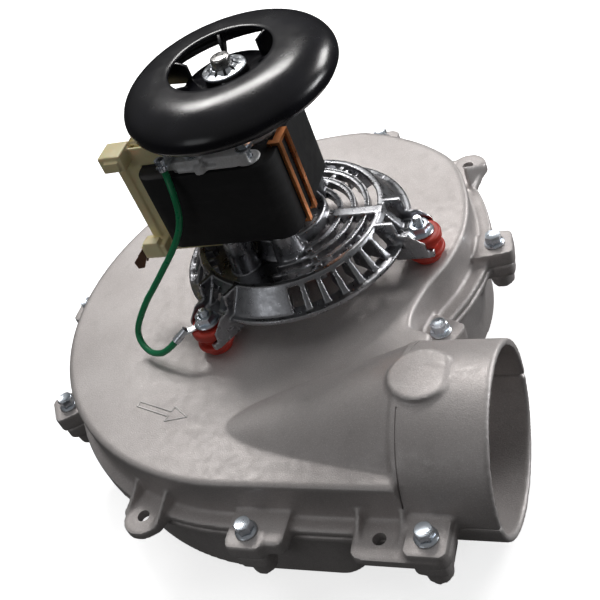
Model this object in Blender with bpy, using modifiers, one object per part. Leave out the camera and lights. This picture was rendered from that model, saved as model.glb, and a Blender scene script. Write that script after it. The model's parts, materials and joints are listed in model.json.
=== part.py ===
"""Combustion fan: the draft inducer of a gas furnace.

Two die-cast scroll halves are screwed together along a flange. A shaded-pole motor stands on a
ventilated three-arm bracket over the scroll, on red rubber mounts. Its shaft turns the impeller
inside the scroll and a cooling fan on top.

Dimensions below are in millimetres and the model is built in metres. Plan positions are measured
from the motor axis, and heights from the flat bottom of the lower housing. +X points out of the
round outlet, and the motor stands up along +Z.
"""

import math

import bmesh
import bpy
import numpy as np
from mathutils import Matrix, Vector

MM = 0.001
GAP = 0.3                      # clearance between touching pieces

# Where the motor axis stands in the part's own frame, whose origin is under the middle of the box.
AXIS_X = 17.4
AXIS_Y = 9.95

# Scroll housing
WALL = 3.0                     # casting thickness
PARTING_Z = 38.0               # plane between the two halves
PLATE_Z = 61.0                 # flat top of the upper half
SHOULDER = 10.0                # rounding between wall and flat plates
SCROLL_CENTRE = (-5.0, -10.5)
SCROLL_R = 112.5               # large round stretch of the wall
MOUTH_X = 66.0                 # where the scroll ends and the outlet collar begins
FLANGE_TURNS = (0.0, 50.0, 75.0, 217.0, 252.0, 360.0)    # outward directions in degrees
FLANGE_WIDTHS = (6.5, 6.5, 3.5, 3.5, 6.5, 6.5)            # and the flange width there
UPPER_FLANGE_Z = 42.0
LOWER_FLANGE_Z = 34.0
INLET_R = 33.0

# Outlet collar: a nominal three-inch vent collar
COLLAR_R = 38.0
COLLAR_Y = -84.8
COLLAR_Z = 42.0
COLLAR_END_X = 99.9
BULGE_TIP = (-40.0, -98.0)     # the collar's taper runs back into the plate towards this point
BULGE_TIP_R = 12.0
LOWER_MOUTH_X = 40.0           # the lower scroll ends earlier, and the collar runs back to it
LOWER_SHOULDER = 12.0
PAD_CENTRE = (73.5, -84.8)     # D-shaped flat pad on the collar
PAD_R = 12.6
PAD_TOP_Z = 80.6

# Screws that join the halves: plan position, then the lug's direction in degrees
SCREW_PLACES = (
    (7.7, 113.0, 86.0),
    (80.0, 22.5, 10.0),
    (64.5, -31.5, -25.0),
    (76.1, -131.9, -90.0),
    (5.3, -133.2, -90.0),
    (-108.5, -70.3, 213.0),
    (-126.5, -5.5, 182.0),
    (-91.8, 79.0, 134.0),
)
LUG_TOP_Z = 46.0
LUG_HALF = 8.0
SCREW_R = 2.1
SCREW_HEAD_R = 4.6
SCREW_HEX_R = 3.7
SCREW_TIP_Z = 26.0
BOSS_FOOT_Z = 23.0
BOSS_R = 6.2

# Mounting ears: hole position and the direction from the wall to the hole, in degrees
EAR_PLACES = ((57.5, 87.0, 73.0), (-45.6, -126.6, 250.0), (57.5, -131.4, 270.0))
WIDE_EAR = (66.0, -131.4, 19.0)    # the third ear is a wide pad that runs on to the nearest screw lug
WIDE_LUG = (12.0, -131.5, 9.0)     # and one lug is wide too
EAR_TOP_Z = 42.5
EAR_SEAT_Z = 38.9              # underside of the wide ear, clear of the lower flange
EAR_TIP_R = 9.0
EAR_HOLE_R = 2.7

# Motor mounts on the plate
MOUNT_R = 57.2
MOUNT_ANGLES = (0.0, 120.0, 240.0)
GROMMET_TOP_Z = 75.2
FORK_Z = (67.6, 70.8)
NUT_TOP_Z = 79.8
STUD_TOP_Z = 83.5
STUD_R = 2.0
STUD_FOOT_Z = 57.0

# Motor bracket
RING_TOP_Z = 88.0
RING_LIP_Z = 75.0
RING_TOP_R = 42.8
RING_FOOT_R = 49.8
RING_LIP_R = 52.5
SLOT_PITCH = 9.6               # degrees between the slots of one side
FIRST_SLOT = 15.1
SLOTS_PER_SIDE = 7
RIB_RADII = (22.2, 28.2, 34.2)
POCKET_TURNS = (170.0, 274.0)    # the ribs stop here, and a closed floor takes their place
HUB_R = 18.0
HUB_TOP_Z = 92.0

# Motor stator
STACK_X = (-46.0, 16.3)
STACK_HALF_Y = 26.8
STACK_Z = (99.6, 137.2)
STACK_CORNER_R = 8.0
BORE_R = 13.4
BAR_X = (-46.0, -35.0)
ARM_INNER_Y = 17.0
WINDOW_X = -23.0
BOLT_PLACES = ((6.0, -20.8), (-17.0, -20.8), (6.0, 20.8), (-17.0, 20.8))
BOLT_R = 1.9
COIL_BUILD = 9.0
FLANGE_Y = 16.6                # outer face of each bobbin flange
FLANGE_T = 1.5

# Shaft, rotor and wheels
SHAFT_R = 4.0
SHAFT_Z = (8.0, 172.5)
ROTOR_R = 12.9
IMPELLER_R = 52.0
IMPELLER_Z = (12.0, 44.0)
BLADES = 12
FAN_R = 45.0
FAN_MID_Z = 160.0
FAN_TOP_Z = 172.0
FAN_EYE_R = 22.0
FAN_DISC_R = 19.5
FAN_BLADES = 6
FIRST_BLADE = 51.6             # degrees

# Ground wire from the upper bracket to the front left mount: route points, chosen by hand
WIRE_R = 1.45
WIRE_ROUTE = (
    (-28.0, -28.3, 141.6),
    (-27.8, -28.9, 138.3),
    (-26.8, -31.8, 131.7),
    (-27.6, -33.4, 123.6),
    (-30.5, -34.8, 115.9),
    (-36.1, -37.0, 108.0),
    (-43.0, -40.0, 100.4),
    (-50.4, -43.2, 92.6),
    (-56.4, -45.2, 86.4),
    (-62.2, -47.6, 79.0),
    (-65.9, -48.9, 73.0),
    (-66.2, -50.8, 69.0),
    (-63.3, -54.0, 66.6),
    (-58.0, -57.2, 66.0),
    (-51.8, -58.8, 67.4),
    (-46.4, -58.8, 70.6),
    (-42.8, -58.0, 73.2),
)
LUG_T = 0.8                    # sheet thickness of the wire's terminals
WIRED_MOUNT = 3                # its nut clamps the wire's ring terminal
WIRE_POINTS = 32


def start_scene():
    """Remove what the scene holds and make the two collections and the axis empty."""
    for thing in list(bpy.data.objects):
        bpy.data.objects.remove(thing, do_unlink=True)
    scene = bpy.context.scene
    parts = bpy.data.collections.new("combustion_fan")
    cutters = bpy.data.collections.new("cutters")
    scene.collection.children.link(parts)
    scene.collection.children.link(cutters)
    axis = bpy.data.objects.new("motor_axis", None)
    axis.location = (AXIS_X * MM, AXIS_Y * MM, 0.0)
    parts.objects.link(axis)
    return parts, cutters, axis


PARTS, CUTTERS, AXIS = start_scene()
LOOKS = {}


def look(name, colour, roughness, metallic):
    """One Principled material for each kind of surface."""
    if name not in LOOKS:
        material = bpy.data.materials.new(name)
        material.use_nodes = True
        shader = material.node_tree.nodes["Principled BSDF"]
        shader.inputs["Base Color"].default_value = (*colour, 1.0)
        shader.inputs["Roughness"].default_value = roughness
        shader.inputs["Metallic"].default_value = metallic
        LOOKS[name] = material
    return LOOKS[name]


def place(name, data):
    """Put mesh or curve data in the parts collection, parented to the motor axis."""
    thing = bpy.data.objects.new(name, data)
    PARTS.objects.link(thing)
    thing.parent = AXIS
    return thing


def paint(thing, *look_values):
    thing.data.materials.clear()
    thing.data.materials.append(look(*look_values))
    if thing.type == "MESH":
        thing.data.shade_smooth()
        thing.data.set_sharp_from_angle(angle=math.radians(35.0))
    return thing


def cutter(thing):
    """Turn an object into a hidden operand for Boolean modifiers."""
    PARTS.objects.unlink(thing)
    CUTTERS.objects.link(thing)
    thing.hide_render = True
    thing.display_type = "WIRE"
    return thing


def combine(target, operation, operands):
    for operand in operands:
        modifier = target.modifiers.new(operation.lower(), "BOOLEAN")
        modifier.operation = operation
        modifier.solver = "EXACT"
        modifier.object = cutter(operand)
    return target


def cut(target, *operands):
    return combine(target, "DIFFERENCE", operands)


def join(target, *operands):
    return combine(target, "UNION", operands)


def from_bmesh(name, bm):
    mesh = bpy.data.meshes.new(name)
    bm.to_mesh(mesh)
    bm.free()
    return place(name, mesh)


def blocks(name, boxes):
    """Boxes given as (x, y, z) centre, size and turn about the motor axis in degrees."""
    bm = bmesh.new()
    for centre, size, turn in boxes:
        matrix = (Matrix.Rotation(math.radians(turn), 4, "Z")
                  @ Matrix.Translation(Vector(centre) * MM)
                  @ Matrix.Diagonal((*(Vector(size) * MM), 1.0)))
        bmesh.ops.create_cube(bm, size=1.0, matrix=matrix)
    return from_bmesh(name, bm)


def block(name, x, y, z, turn=0.0):
    """One box between pairs of limits."""
    centre = [(low + high) / 2.0 for low, high in (x, y, z)]
    size = [high - low for low, high in (x, y, z)]
    return blocks(name, [(centre, size, turn)])


def rods(name, places, z, radius, sides=16, foot_radius=None):
    """Upright cylinders or cones at plan positions."""
    bm = bmesh.new()
    for x, y in places:
        matrix = Matrix.Translation(Vector((x, y, (z[0] + z[1]) / 2.0)) * MM)
        bmesh.ops.create_cone(bm, cap_ends=True, segments=sides, depth=(z[1] - z[0]) * MM,
                              radius1=(foot_radius or radius) * MM, radius2=radius * MM, matrix=matrix)
    return from_bmesh(name, bm)


def rod(name, x, y, z, radius, sides=16, foot_radius=None):
    return rods(name, [(x, y)], z, radius, sides, foot_radius)


def lying_rod(name, x, y, z, radius, sides=44):
    """A cylinder along X between two limits."""
    bm = bmesh.new()
    matrix = (Matrix.Translation(Vector(((x[0] + x[1]) / 2.0, y, z)) * MM)
              @ Matrix.Rotation(math.radians(90.0), 4, "Y"))
    bmesh.ops.create_cone(bm, cap_ends=True, segments=sides, depth=(x[1] - x[0]) * MM,
                          radius1=radius * MM, radius2=radius * MM, matrix=matrix)
    return from_bmesh(name, bm)


def turned(name, profile, steps, closed=True, at=(0.0, 0.0)):
    """A turned shape: (radius, height) points that run down the outer side."""
    bm = bmesh.new()
    corners = [bm.verts.new((r * MM, 0.0, z * MM)) for r, z in profile]
    for first, second in zip(corners, corners[1:]):
        bm.edges.new((first, second))
    if closed:
        bm.edges.new((corners[-1], corners[0]))
    thing = from_bmesh(name, bm)
    thing.location = (at[0] * MM, at[1] * MM, 0.0)
    screw = thing.modifiers.new("screw", "SCREW")
    screw.steps = steps
    screw.render_steps = steps
    screw.use_merge_vertices = True
    screw.merge_threshold = 0.00001
    return thing


def flat(name, outline, z):
    """A flat outline as a filled 2D curve of half its thickness each way, made a mesh."""
    curve = bpy.data.curves.new(name, "CURVE")
    curve.dimensions = "2D"
    curve.fill_mode = "BOTH"
    curve.extrude = (z[1] - z[0]) / 2.0 * MM
    spline = curve.splines.new("POLY")
    spline.points.add(len(outline) - 1)
    for point, (x, y) in zip(spline.points, outline):
        point.co = (x * MM, y * MM, 0.0, 1.0)
    spline.use_cyclic_u = True
    guide = bpy.data.objects.new(name, curve)
    bpy.context.scene.collection.objects.link(guide)
    return as_mesh(guide, Matrix.Translation((0.0, 0.0, (z[0] + z[1]) / 2.0 * MM)))


def as_mesh(guide, shift=Matrix.Identity(4)):
    """Replace a curve object by a closed mesh object of the same name."""
    name = guide.name
    depsgraph = bpy.context.evaluated_depsgraph_get()
    mesh = bpy.data.meshes.new_from_object(guide.evaluated_get(depsgraph))
    bm = bmesh.new()
    bm.from_mesh(mesh)
    bmesh.ops.remove_doubles(bm, verts=bm.verts, dist=0.000002)
    bmesh.ops.recalc_face_normals(bm, faces=bm.faces)
    bm.transform(shift @ guide.matrix_world)
    bm.to_mesh(mesh)
    bm.free()
    bpy.data.objects.remove(guide, do_unlink=True)
    return place(name, mesh)


def round_edges(thing, height, radius, segments=2):
    """Round the edges that lie at one height."""
    bm = bmesh.new()
    bm.from_mesh(thing.data)
    bm.normal_update()
    edges = [e for e in bm.edges
             if all(abs(v.co.z - height * MM) < 0.00001 for v in e.verts) and len(e.link_faces) == 2
             and abs(e.link_faces[0].normal.z - e.link_faces[1].normal.z) > 0.5]
    bmesh.ops.bevel(bm, geom=edges, offset=radius * MM, segments=segments, profile=0.5,
                    affect="EDGES", clamp_overlap=True)
    bm.to_mesh(thing.data)
    bm.free()
    return thing


def arc(centre, radius, start, end, count):
    """Points on an arc between two angles in degrees."""
    angles = [math.radians(start + (end - start) * i / (count - 1)) for i in range(count)]
    return [(centre[0] + radius * math.cos(a), centre[1] + radius * math.sin(a)) for a in angles]


def spline_through(points, per_span):
    """Catmull-Rom points between the first and last of the given points."""
    ends = [2 * Vector(points[0]) - Vector(points[1])], [2 * Vector(points[-1]) - Vector(points[-2])]
    knots = ends[0] + [Vector(p) for p in points] + ends[1]
    found = []
    for a, b, c, d in zip(knots, knots[1:], knots[2:], knots[3:]):
        for i in range(per_span):
            t = i / per_span
            found.append(0.5 * (2 * b + (c - a) * t + (2 * a - 5 * b + 4 * c - d) * t * t
                                + (3 * b - a - 3 * c + d) * t * t * t))
    found.append(knots[-2])
    return [tuple(p) for p in found]


def flange_width(normal):
    """The flange is wide at the front and right, and narrow at the back and left."""
    return float(np.interp(math.degrees(math.atan2(normal.y, normal.x)) % 360.0, FLANGE_TURNS, FLANGE_WIDTHS))


def scroll_outline(grow, mouth_x=MOUTH_X):
    """The scroll wall in plan, counter-clockwise, moved outwards by grow, or by the flange's width."""
    right_side = spline_through([(57.0, -42.0), (56.5, -32.0), (60.0, -18.0), (67.0, -2.0), (70.8, 18.0),
                                 (68.0, 42.0), (58.0, 67.0), (42.0, 83.0), (22.0, 95.0), (5.0, 101.5)], 2)
    round_side = arc(SCROLL_CENTRE, SCROLL_R, 86.0, 270.0, 21)
    front_y = COLLAR_Y - COLLAR_R
    corner = [(mouth_x, front_y)]
    if mouth_x == LOWER_MOUTH_X:
        corner = arc((mouth_x - LOWER_SHOULDER, front_y + LOWER_SHOULDER), LOWER_SHOULDER, -90.0, 0.0, 4)
    points = corner + [(mouth_x, -46.0)] + right_side + round_side[1:]
    moved = []
    for before, here, after in zip(points[-1:] + points[:-1], points, points[1:] + points[:1]):
        normals = []
        for a, b in ((before, here), (here, after)):
            run, rise = b[0] - a[0], b[1] - a[1]
            length = math.hypot(run, rise)
            normals.append(Vector((rise / length, -run / length)))
        middle = (normals[0] + normals[1]).normalized()
        distance = flange_width(middle) if grow is None else grow
        reach = distance / max(0.5, middle.dot(normals[0]))
        moved.append((here[0] + middle.x * reach, here[1] + middle.y * reach))
    return moved


def pad_outline(x, y, direction, inward, outward, half_width, corner=3.0):
    """A rounded rectangle that reaches inwards and outwards from a point, turned to a direction."""
    turn = math.radians(direction)
    corners = ((outward - corner, half_width - corner), (corner - inward, half_width - corner),
               (corner - inward, corner - half_width), (outward - corner, corner - half_width))
    found = []
    for number, centre in enumerate(corners):
        for p, q in arc(centre, corner, 90.0 * number, 90.0 * number + 90.0, 3):
            found.append((x + p * math.cos(turn) - q * math.sin(turn), y + p * math.sin(turn) + q * math.cos(turn)))
    return found


def ear_outline(x, y, direction, half_width, inward):
    """A tongue with a round tip about a hole."""
    turn = math.radians(direction)
    shape = arc((0.0, 0.0), half_width, -90.0, 90.0, 9) + [(-inward, half_width + 2.0), (-inward, -half_width - 2.0)]
    return [(x + p * math.cos(turn) - q * math.sin(turn), y + p * math.sin(turn) + q * math.cos(turn))
            for p, q in shape]


ALUMINIUM = ("cast_aluminium", (0.55, 0.53, 0.50), 0.42, 0.85)
BRACKET_METAL = ("bracket_aluminium", (0.18, 0.18, 0.19), 0.35, 0.9)
ZINC = ("zinc_plated_steel", (0.62, 0.66, 0.72), 0.25, 1.0)
SILICONE = ("red_silicone", (0.45, 0.03, 0.02), 0.45, 0.0)
LAMINATION = ("black_laminations", (0.012, 0.012, 0.012), 0.55, 0.0)
COPPER = ("copper", (0.72, 0.28, 0.12), 0.3, 1.0)
NYLON = ("cream_nylon", (0.72, 0.63, 0.38), 0.5, 0.0)
BLACK_PLASTIC = ("black_plastic", (0.012, 0.012, 0.014), 0.2, 0.0)
STEEL = ("steel", (0.55, 0.55, 0.56), 0.3, 1.0)
DIE_CAST = ("motor_end_casting", (0.6, 0.6, 0.6), 0.4, 1.0)
BRONZE = ("sintered_bronze", (0.5, 0.33, 0.16), 0.5, 1.0)
TERMINAL = ("brown_terminal", (0.06, 0.03, 0.02), 0.5, 0.3)
WIRE_GREEN = ("green_insulation", (0.01, 0.16, 0.06), 0.35, 0.0)
GALVANISED = ("galvanised_steel", (0.6, 0.6, 0.58), 0.45, 1.0)
TAPE = ("coil_tape", (0.55, 0.45, 0.12), 0.5, 0.0)


def collar_taper(name, shrink):
    """The cone that carries the collar's round back into the scroll and fades into the plate."""
    start = Vector((MOUTH_X + 2.0, COLLAR_Y, COLLAR_Z))
    end = Vector((BULGE_TIP[0], BULGE_TIP[1], COLLAR_Z))
    along = end - start
    bm = bmesh.new()
    matrix = (Matrix.Translation((start + end) / 2.0 * MM)
              @ along.to_track_quat("Z", "Y").to_matrix().to_4x4())
    bmesh.ops.create_cone(bm, cap_ends=True, segments=44, depth=along.length * MM,
                          radius1=(COLLAR_R - shrink) * MM, radius2=(BULGE_TIP_R - shrink) * MM, matrix=matrix)
    return from_bmesh(name, bm)


def housing_body(name, z, flange_z, rounded_z, shoulder, mouth_x):
    """Outer form of one scroll half before it is hollowed: prism, flange, collar and taper."""
    body = round_edges(flat(name, scroll_outline(0.0, mouth_x), z), rounded_z, shoulder)
    join(body, flat(name + "_flange", scroll_outline(None), flange_z),
         lying_rod(name + "_collar", (mouth_x - 2.0, COLLAR_END_X), COLLAR_Y, COLLAR_Z, COLLAR_R),
         collar_taper(name + "_taper", 0.0))
    return body


def hollow(body, name, z, rounded_z, shoulder, mouth_x):
    """Cut the scroll's cavity and the collar's bore out of one half."""
    cavity = round_edges(flat(name + "_cavity", scroll_outline(-WALL, mouth_x), z), rounded_z, shoulder - WALL)
    bore = lying_rod(name + "_bore", (mouth_x - WALL - 1.0 if mouth_x < MOUTH_X else mouth_x - 1.0,
                                      COLLAR_END_X + 5.0), COLLAR_Y, COLLAR_Z, COLLAR_R - WALL)
    cut(body, cavity, bore, collar_taper(name + "_taper_bore", WALL))


def upper_housing():
    top = PARTING_Z + GAP / 2.0
    body = housing_body("upper_housing", (30.0, PLATE_Z), (29.0, UPPER_FLANGE_Z), PLATE_Z,
                        SHOULDER, MOUTH_X)
    for number, (x, y, direction) in enumerate(SCREW_PLACES, 1):
        join(body, flat(f"upper_lug_{number}", pad_outline(x, y, direction, 11.0, LUG_HALF, LUG_HALF),
                        (28.0 - 0.3 * number, LUG_TOP_Z)))
    x, y, half_width = WIDE_LUG
    join(body, flat("wide_lug", pad_outline(x, y, -90.0, 11.0, 7.0, half_width), (27.0, LUG_TOP_Z - 0.4)))
    x, y, half_width = WIDE_EAR
    join(body, flat("wide_ear", pad_outline(x, y, -90.0, 11.0, EAR_TIP_R, half_width, 5.0), (30.5, EAR_TOP_Z)))
    for number, (x, y, direction) in enumerate(EAR_PLACES, 1):
        if number < 3:
            join(body, flat(f"ear_{number}", ear_outline(x, y, direction, EAR_TIP_R, 13.0),
                            (32.0 - 0.3 * number, EAR_TOP_Z)))
        for side in (-1.0, 1.0):
            turn = math.radians(direction)
            across = side * (EAR_TIP_R - 0.5)
            rib_x = x - 8.5 * math.cos(turn) - across * math.sin(turn)
            rib_y = y - 8.5 * math.sin(turn) + across * math.cos(turn)
            join(body, flat(f"ear_rib_{number}_{'a' if side < 0 else 'b'}",
                            pad_outline(rib_x, rib_y, direction, 6.0, 6.0, 1.2, 0.8), (35.0, EAR_TOP_Z + 4.5)))
    join(body, flat("flat_pad", arc(PAD_CENTRE, PAD_R, 40.0, 320.0, 17), (70.0, PAD_TOP_Z)))
    boss_places = mount_places()
    cut(body, block("upper_trim", (-200.0, 200.0), (-200.0, 200.0), (0.0, top)),
        block("wide_ear_seat", (46.0, 67.5), (-142.0, -129.8), (20.0, EAR_SEAT_Z)))
    hollow(body, "upper", (20.0, PLATE_Z - WALL), PLATE_Z - WALL, SHOULDER, MOUTH_X)
    join(body, rods("stud_bosses", boss_places, (55.0, PLATE_Z - 1.0), 6.0))
    holes = [(x, y) for x, y, _ in SCREW_PLACES]
    cut(body, rods("upper_screw_holes", holes, (10.0, 70.0), SCREW_R + GAP + 0.1, 12),
        rods("ear_holes", [(x, y) for x, y, _ in EAR_PLACES], (10.0, 70.0), EAR_HOLE_R, 20),
        rods("stud_holes", boss_places, (STUD_FOOT_Z - 0.5, 70.0), STUD_R + GAP + 0.1, 12),
        rod("shaft_hole", 0.0, 0.0, (50.0, 70.0), 7.0, 24))
    return paint(body, *ALUMINIUM)


def lower_housing():
    top = PARTING_Z - GAP / 2.0
    body = housing_body("lower_housing", (0.0, 50.0), (LOWER_FLANGE_Z, 51.0), 0.0,
                        LOWER_SHOULDER, LOWER_MOUTH_X)
    holes = [(x, y) for x, y, _ in SCREW_PLACES]
    for number, (x, y, direction) in enumerate(SCREW_PLACES, 1):
        join(body, flat(f"lower_lug_{number}", pad_outline(x, y, direction, 11.0, 7.0, 7.0),
                        (31.0, 52.0 + 0.3 * number)))
    join(body, rods("screw_bosses", holes, (BOSS_FOOT_Z, 45.0), BOSS_R + 0.6, 16, BOSS_R - 1.0))
    cut(body, block("lower_trim", (-200.0, 200.0), (-200.0, 200.0), (top, 120.0)))
    hollow(body, "lower", (WALL, 60.0), WALL, LOWER_SHOULDER, LOWER_MOUTH_X)
    cut(body, rods("lower_screw_holes", holes, (SCREW_TIP_Z - 1.0, 60.0), SCREW_R + GAP + 0.1, 12),
        rod("inlet", 0.0, 0.0, (-5.0, 10.0), INLET_R, 48))
    return paint(body, *ALUMINIUM)


def housing_screws():
    """Hex washer-head screws, one mesh shared by all."""
    head_z = LUG_TOP_Z + GAP
    profile = [(0.0, head_z + 1.2), (SCREW_HEAD_R, head_z + 0.9), (SCREW_HEAD_R, head_z), (SCREW_R, head_z),
               (SCREW_R, SCREW_TIP_Z + 1.5), (SCREW_R - 1.0, SCREW_TIP_Z), (0.0, SCREW_TIP_Z)]
    shared = None
    for number, (x, y, direction) in enumerate(SCREW_PLACES, 1):
        screw = turned(f"housing_screw_{number}", profile, 12, closed=False, at=(x, y))
        join(screw, hex_head(f"screw_hex_{number}", x, y, (head_z + 0.5, head_z + 4.6), SCREW_HEX_R, direction))
        paint(screw, *ZINC)
        if shared is None:
            shared = screw.data
        else:
            screw.data = shared


def hex_head(name, x, y, z, radius, turn=0.0):
    outline = [(x + radius * math.cos(math.radians(60.0 * i + turn)),
                y + radius * math.sin(math.radians(60.0 * i + turn))) for i in range(6)]
    head = flat(name, outline, z)
    return round_edges(head, z[1], 0.5, 1)


def mount_places():
    return [(MOUNT_R * math.cos(math.radians(a)), MOUNT_R * math.sin(math.radians(a))) for a in MOUNT_ANGLES]


def motor_mounts():
    """Rubber mount, threaded stud and flange nut at each of the bracket's three arms."""
    fork_low, fork_high = FORK_Z
    rubber = [(7.0, GROMMET_TOP_Z), (8.4, GROMMET_TOP_Z - 1.2), (8.4, fork_high + GAP), (5.6, fork_high + GAP),
              (5.6, fork_low - GAP), (8.4, fork_low - GAP), (8.4, PLATE_Z + 4.6), (7.4, PLATE_Z + 3.4),
              (6.4, PLATE_Z + 3.2), (6.0, PLATE_Z + GAP), (STUD_R + GAP, PLATE_Z + GAP), (STUD_R + GAP, GROMMET_TOP_Z)]
    stud = [(0.0, STUD_TOP_Z), (STUD_R - 0.5, STUD_TOP_Z), (STUD_R, STUD_TOP_Z - 0.6), (STUD_R, STUD_FOOT_Z),
            (0.0, STUD_FOOT_Z)]
    for number, ((x, y), angle) in enumerate(zip(mount_places(), MOUNT_ANGLES), 1):
        raised = LUG_T + GAP if number == WIRED_MOUNT else 0.0
        nut_z = GROMMET_TOP_Z + GAP + raised
        nut_ring = [(5.6, nut_z + 0.9), (5.8, nut_z), (STUD_R + GAP, nut_z), (STUD_R + GAP, nut_z + 0.9)]
        paint(turned(f"rubber_mount_{number}", rubber, 18, at=(x, y)), *SILICONE)
        paint(turned(f"mount_stud_{number}", stud, 14, closed=False, at=(x, y)), *ZINC)
        nut = turned(f"mount_nut_{number}", nut_ring, 16, at=(x, y))
        hexagon = cut(hex_head(f"nut_hex_{number}", x, y, (nut_z + 0.5, NUT_TOP_Z + raised), 4.6, angle),
                      rod(f"nut_hole_{number}", x, y, (nut_z - 2.0, NUT_TOP_Z + 4.0), STUD_R + GAP, 16))
        join(nut, hexagon)
        paint(nut, *ZINC)


def motor_bracket():
    """Conical slotted ring, concentric ribs on radial webs, bearing hub, stack posts and three arms."""
    ring = [(RING_TOP_R - 0.8, RING_TOP_Z), (RING_TOP_R, RING_TOP_Z - 0.8), (RING_FOOT_R, RING_LIP_Z + 2.0),
            (RING_LIP_R, RING_LIP_Z + 2.0), (RING_LIP_R, RING_LIP_Z), (RING_FOOT_R - 3.0, RING_LIP_Z),
            (RING_TOP_R - 3.0, RING_TOP_Z - 3.0), (RING_TOP_R - 3.0, RING_TOP_Z)]
    body = turned("motor_bracket", ring, 38)
    slots = [((46.0, 0.0, 81.6), (16.0, 5.4, 7.4), arm_angle - FIRST_SLOT - SLOT_PITCH * number)
             for arm_angle in MOUNT_ANGLES for number in range(SLOTS_PER_SIDE)]
    cut(body, blocks("ring_slots", slots))
    for number, radius in enumerate(RIB_RADII, 1):
        rib = turned(f"rib_ring_{number}", [(radius + 2.6, RING_TOP_Z), (radius + 2.6, RING_TOP_Z - 4.5),
                                            (radius, RING_TOP_Z - 4.5), (radius, RING_TOP_Z)], 24)
        join(body, cut(rib, sector(f"rib_gap_{number}", (10.0, 39.9), POCKET_TURNS, (80.0, 95.0))))
    join(body, sector("pocket_floor", (17.0, 43.6), (POCKET_TURNS[0] - 3.0, POCKET_TURNS[1] + 3.0), (78.5, 81.5)))
    webs = [((29.0, 0.0, 85.2), (24.5, 3.0, 4.4), turn) for turn in (66.0, 126.0, 306.0)]
    webs.append(((29.0, 1.7, 85.9), (24.5, 5.2, 4.4), 0.0))
    for number, web in enumerate(webs, 1):
        join(body, blocks(f"web_{number}", [web]))
    join(body, rod("hub", 0.0, 0.0, (80.0, HUB_TOP_Z), HUB_R, 22, HUB_R + 3.0))
    for number, (x, y) in enumerate(BOLT_PLACES, 1):
        join(body, rod(f"post_{number}", x, y, (80.0, STACK_Z[0] - GAP), 5.2, 12, 6.6))
    for number, angle in enumerate(MOUNT_ANGLES, 1):
        arm(body, number, angle)
    cut(body, rods("nut_clearance", mount_places(), (72.0, 92.0), 8.8, 18))
    cut(body, rod("bearing_seat", 0.0, 0.0, (70.0, 110.0), 9.3, 20),
        rods("bracket_bolt_holes", BOLT_PLACES, (88.0, 110.0), BOLT_R + GAP + 0.1, 12))
    return paint(body, *BRACKET_METAL)


def sector(name, radii, turns, z):
    """Part of a flat ring between two angles."""
    return flat(name, arc((0.0, 0.0), radii[1], turns[0], turns[1], 15) + arc((0.0, 0.0), radii[0], turns[1], turns[0], 15),
                z)


def arm(body, number, angle):
    """One arm: a sloping step down from the ring to a fork round the rubber mount."""
    low, high = FORK_Z
    plate = block(f"arm_plate_{number}", (45.0, MOUNT_R + 6.0), (-8.6, 8.6), (low, high), angle)
    turn = math.radians(angle)
    x, y = MOUNT_R * math.cos(turn), MOUNT_R * math.sin(turn)
    cut(plate, rod(f"arm_seat_{number}", x, y, (60.0, 80.0), 5.6 + GAP + 0.1, 18),
        block(f"arm_mouth_{number}", (MOUNT_R, MOUNT_R + 10.0), (-6.0, 6.0), (60.0, 80.0), angle))
    join(body, plate, block(f"arm_root_{number}", (42.0, 48.2), (-9.0, 9.0), (low, 84.5), angle),
         blocks(f"arm_ribs_{number}", [((47.2, 7.6, 72.0), (6.4, 2.2, 7.5), angle)]),
         blocks(f"arm_ribs_b_{number}", [((47.2, -7.6, 72.0), (6.4, 2.2, 7.5), angle)]))


def stator_stack():
    """C-shaped stack of laminations, open on the coil side, with a round bore and shading slots."""
    left, right = STACK_X
    r = STACK_CORNER_R
    h = STACK_HALF_Y
    outline = (arc((right - r, h - r), r, 0.0, 90.0, 6) + arc((left + r, h - r), r, 90.0, 180.0, 6)
               + [(left, ARM_INNER_Y), (WINDOW_X, ARM_INNER_Y), (WINDOW_X, -ARM_INNER_Y), (left, -ARM_INNER_Y)]
               + arc((left + r, r - h), r, 180.0, 270.0, 6) + arc((right - r, r - h), r, 270.0, 360.0, 6))
    body = flat("stator_stack", outline, STACK_Z)
    cut(body, rod("stator_bore", 0.0, 0.0, (90.0, 145.0), BORE_R, 48),
        rods("stack_bolt_holes", BOLT_PLACES, (90.0, 145.0), BOLT_R + GAP + 0.1, 12))
    slots = [block(f"shading_slot_{n}", x, y, (90.0, 145.0)) for n, (x, y) in enumerate(SHADING_SLOTS, 1)]
    cut(body, *slots)
    return paint(body, *LAMINATION)


# Each shading coil is a copper band through a slot near the bore and round the stack's side.
SHADING_T = 1.3
SHADING_BANDS = (
    ((12.0, STACK_X[1]), -13.0),
    ((13.6, STACK_X[1]), -4.6),
    ((WINDOW_X, -12.0), 13.0),
    ((WINDOW_X, -13.6), 4.6),
)
SHADING_W = 2.6


def shading_limits(band, y):
    """X limits of the slot that a band passes through, and of the outside it wraps."""
    low, high = band
    wraps_right = high == STACK_X[1]
    inner = low if wraps_right else high
    return wraps_right, inner


SHADING_SLOTS = []
for band, centre_y in SHADING_BANDS:
    wraps, inner_x = shading_limits(band, centre_y)
    reach = SHADING_T + 2.0 * GAP
    slot_x = (inner_x, inner_x + reach) if wraps else (inner_x - reach, inner_x)
    SHADING_SLOTS.append((slot_x, (centre_y - SHADING_W / 2.0 - GAP, centre_y + SHADING_W / 2.0 + GAP)))


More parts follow.
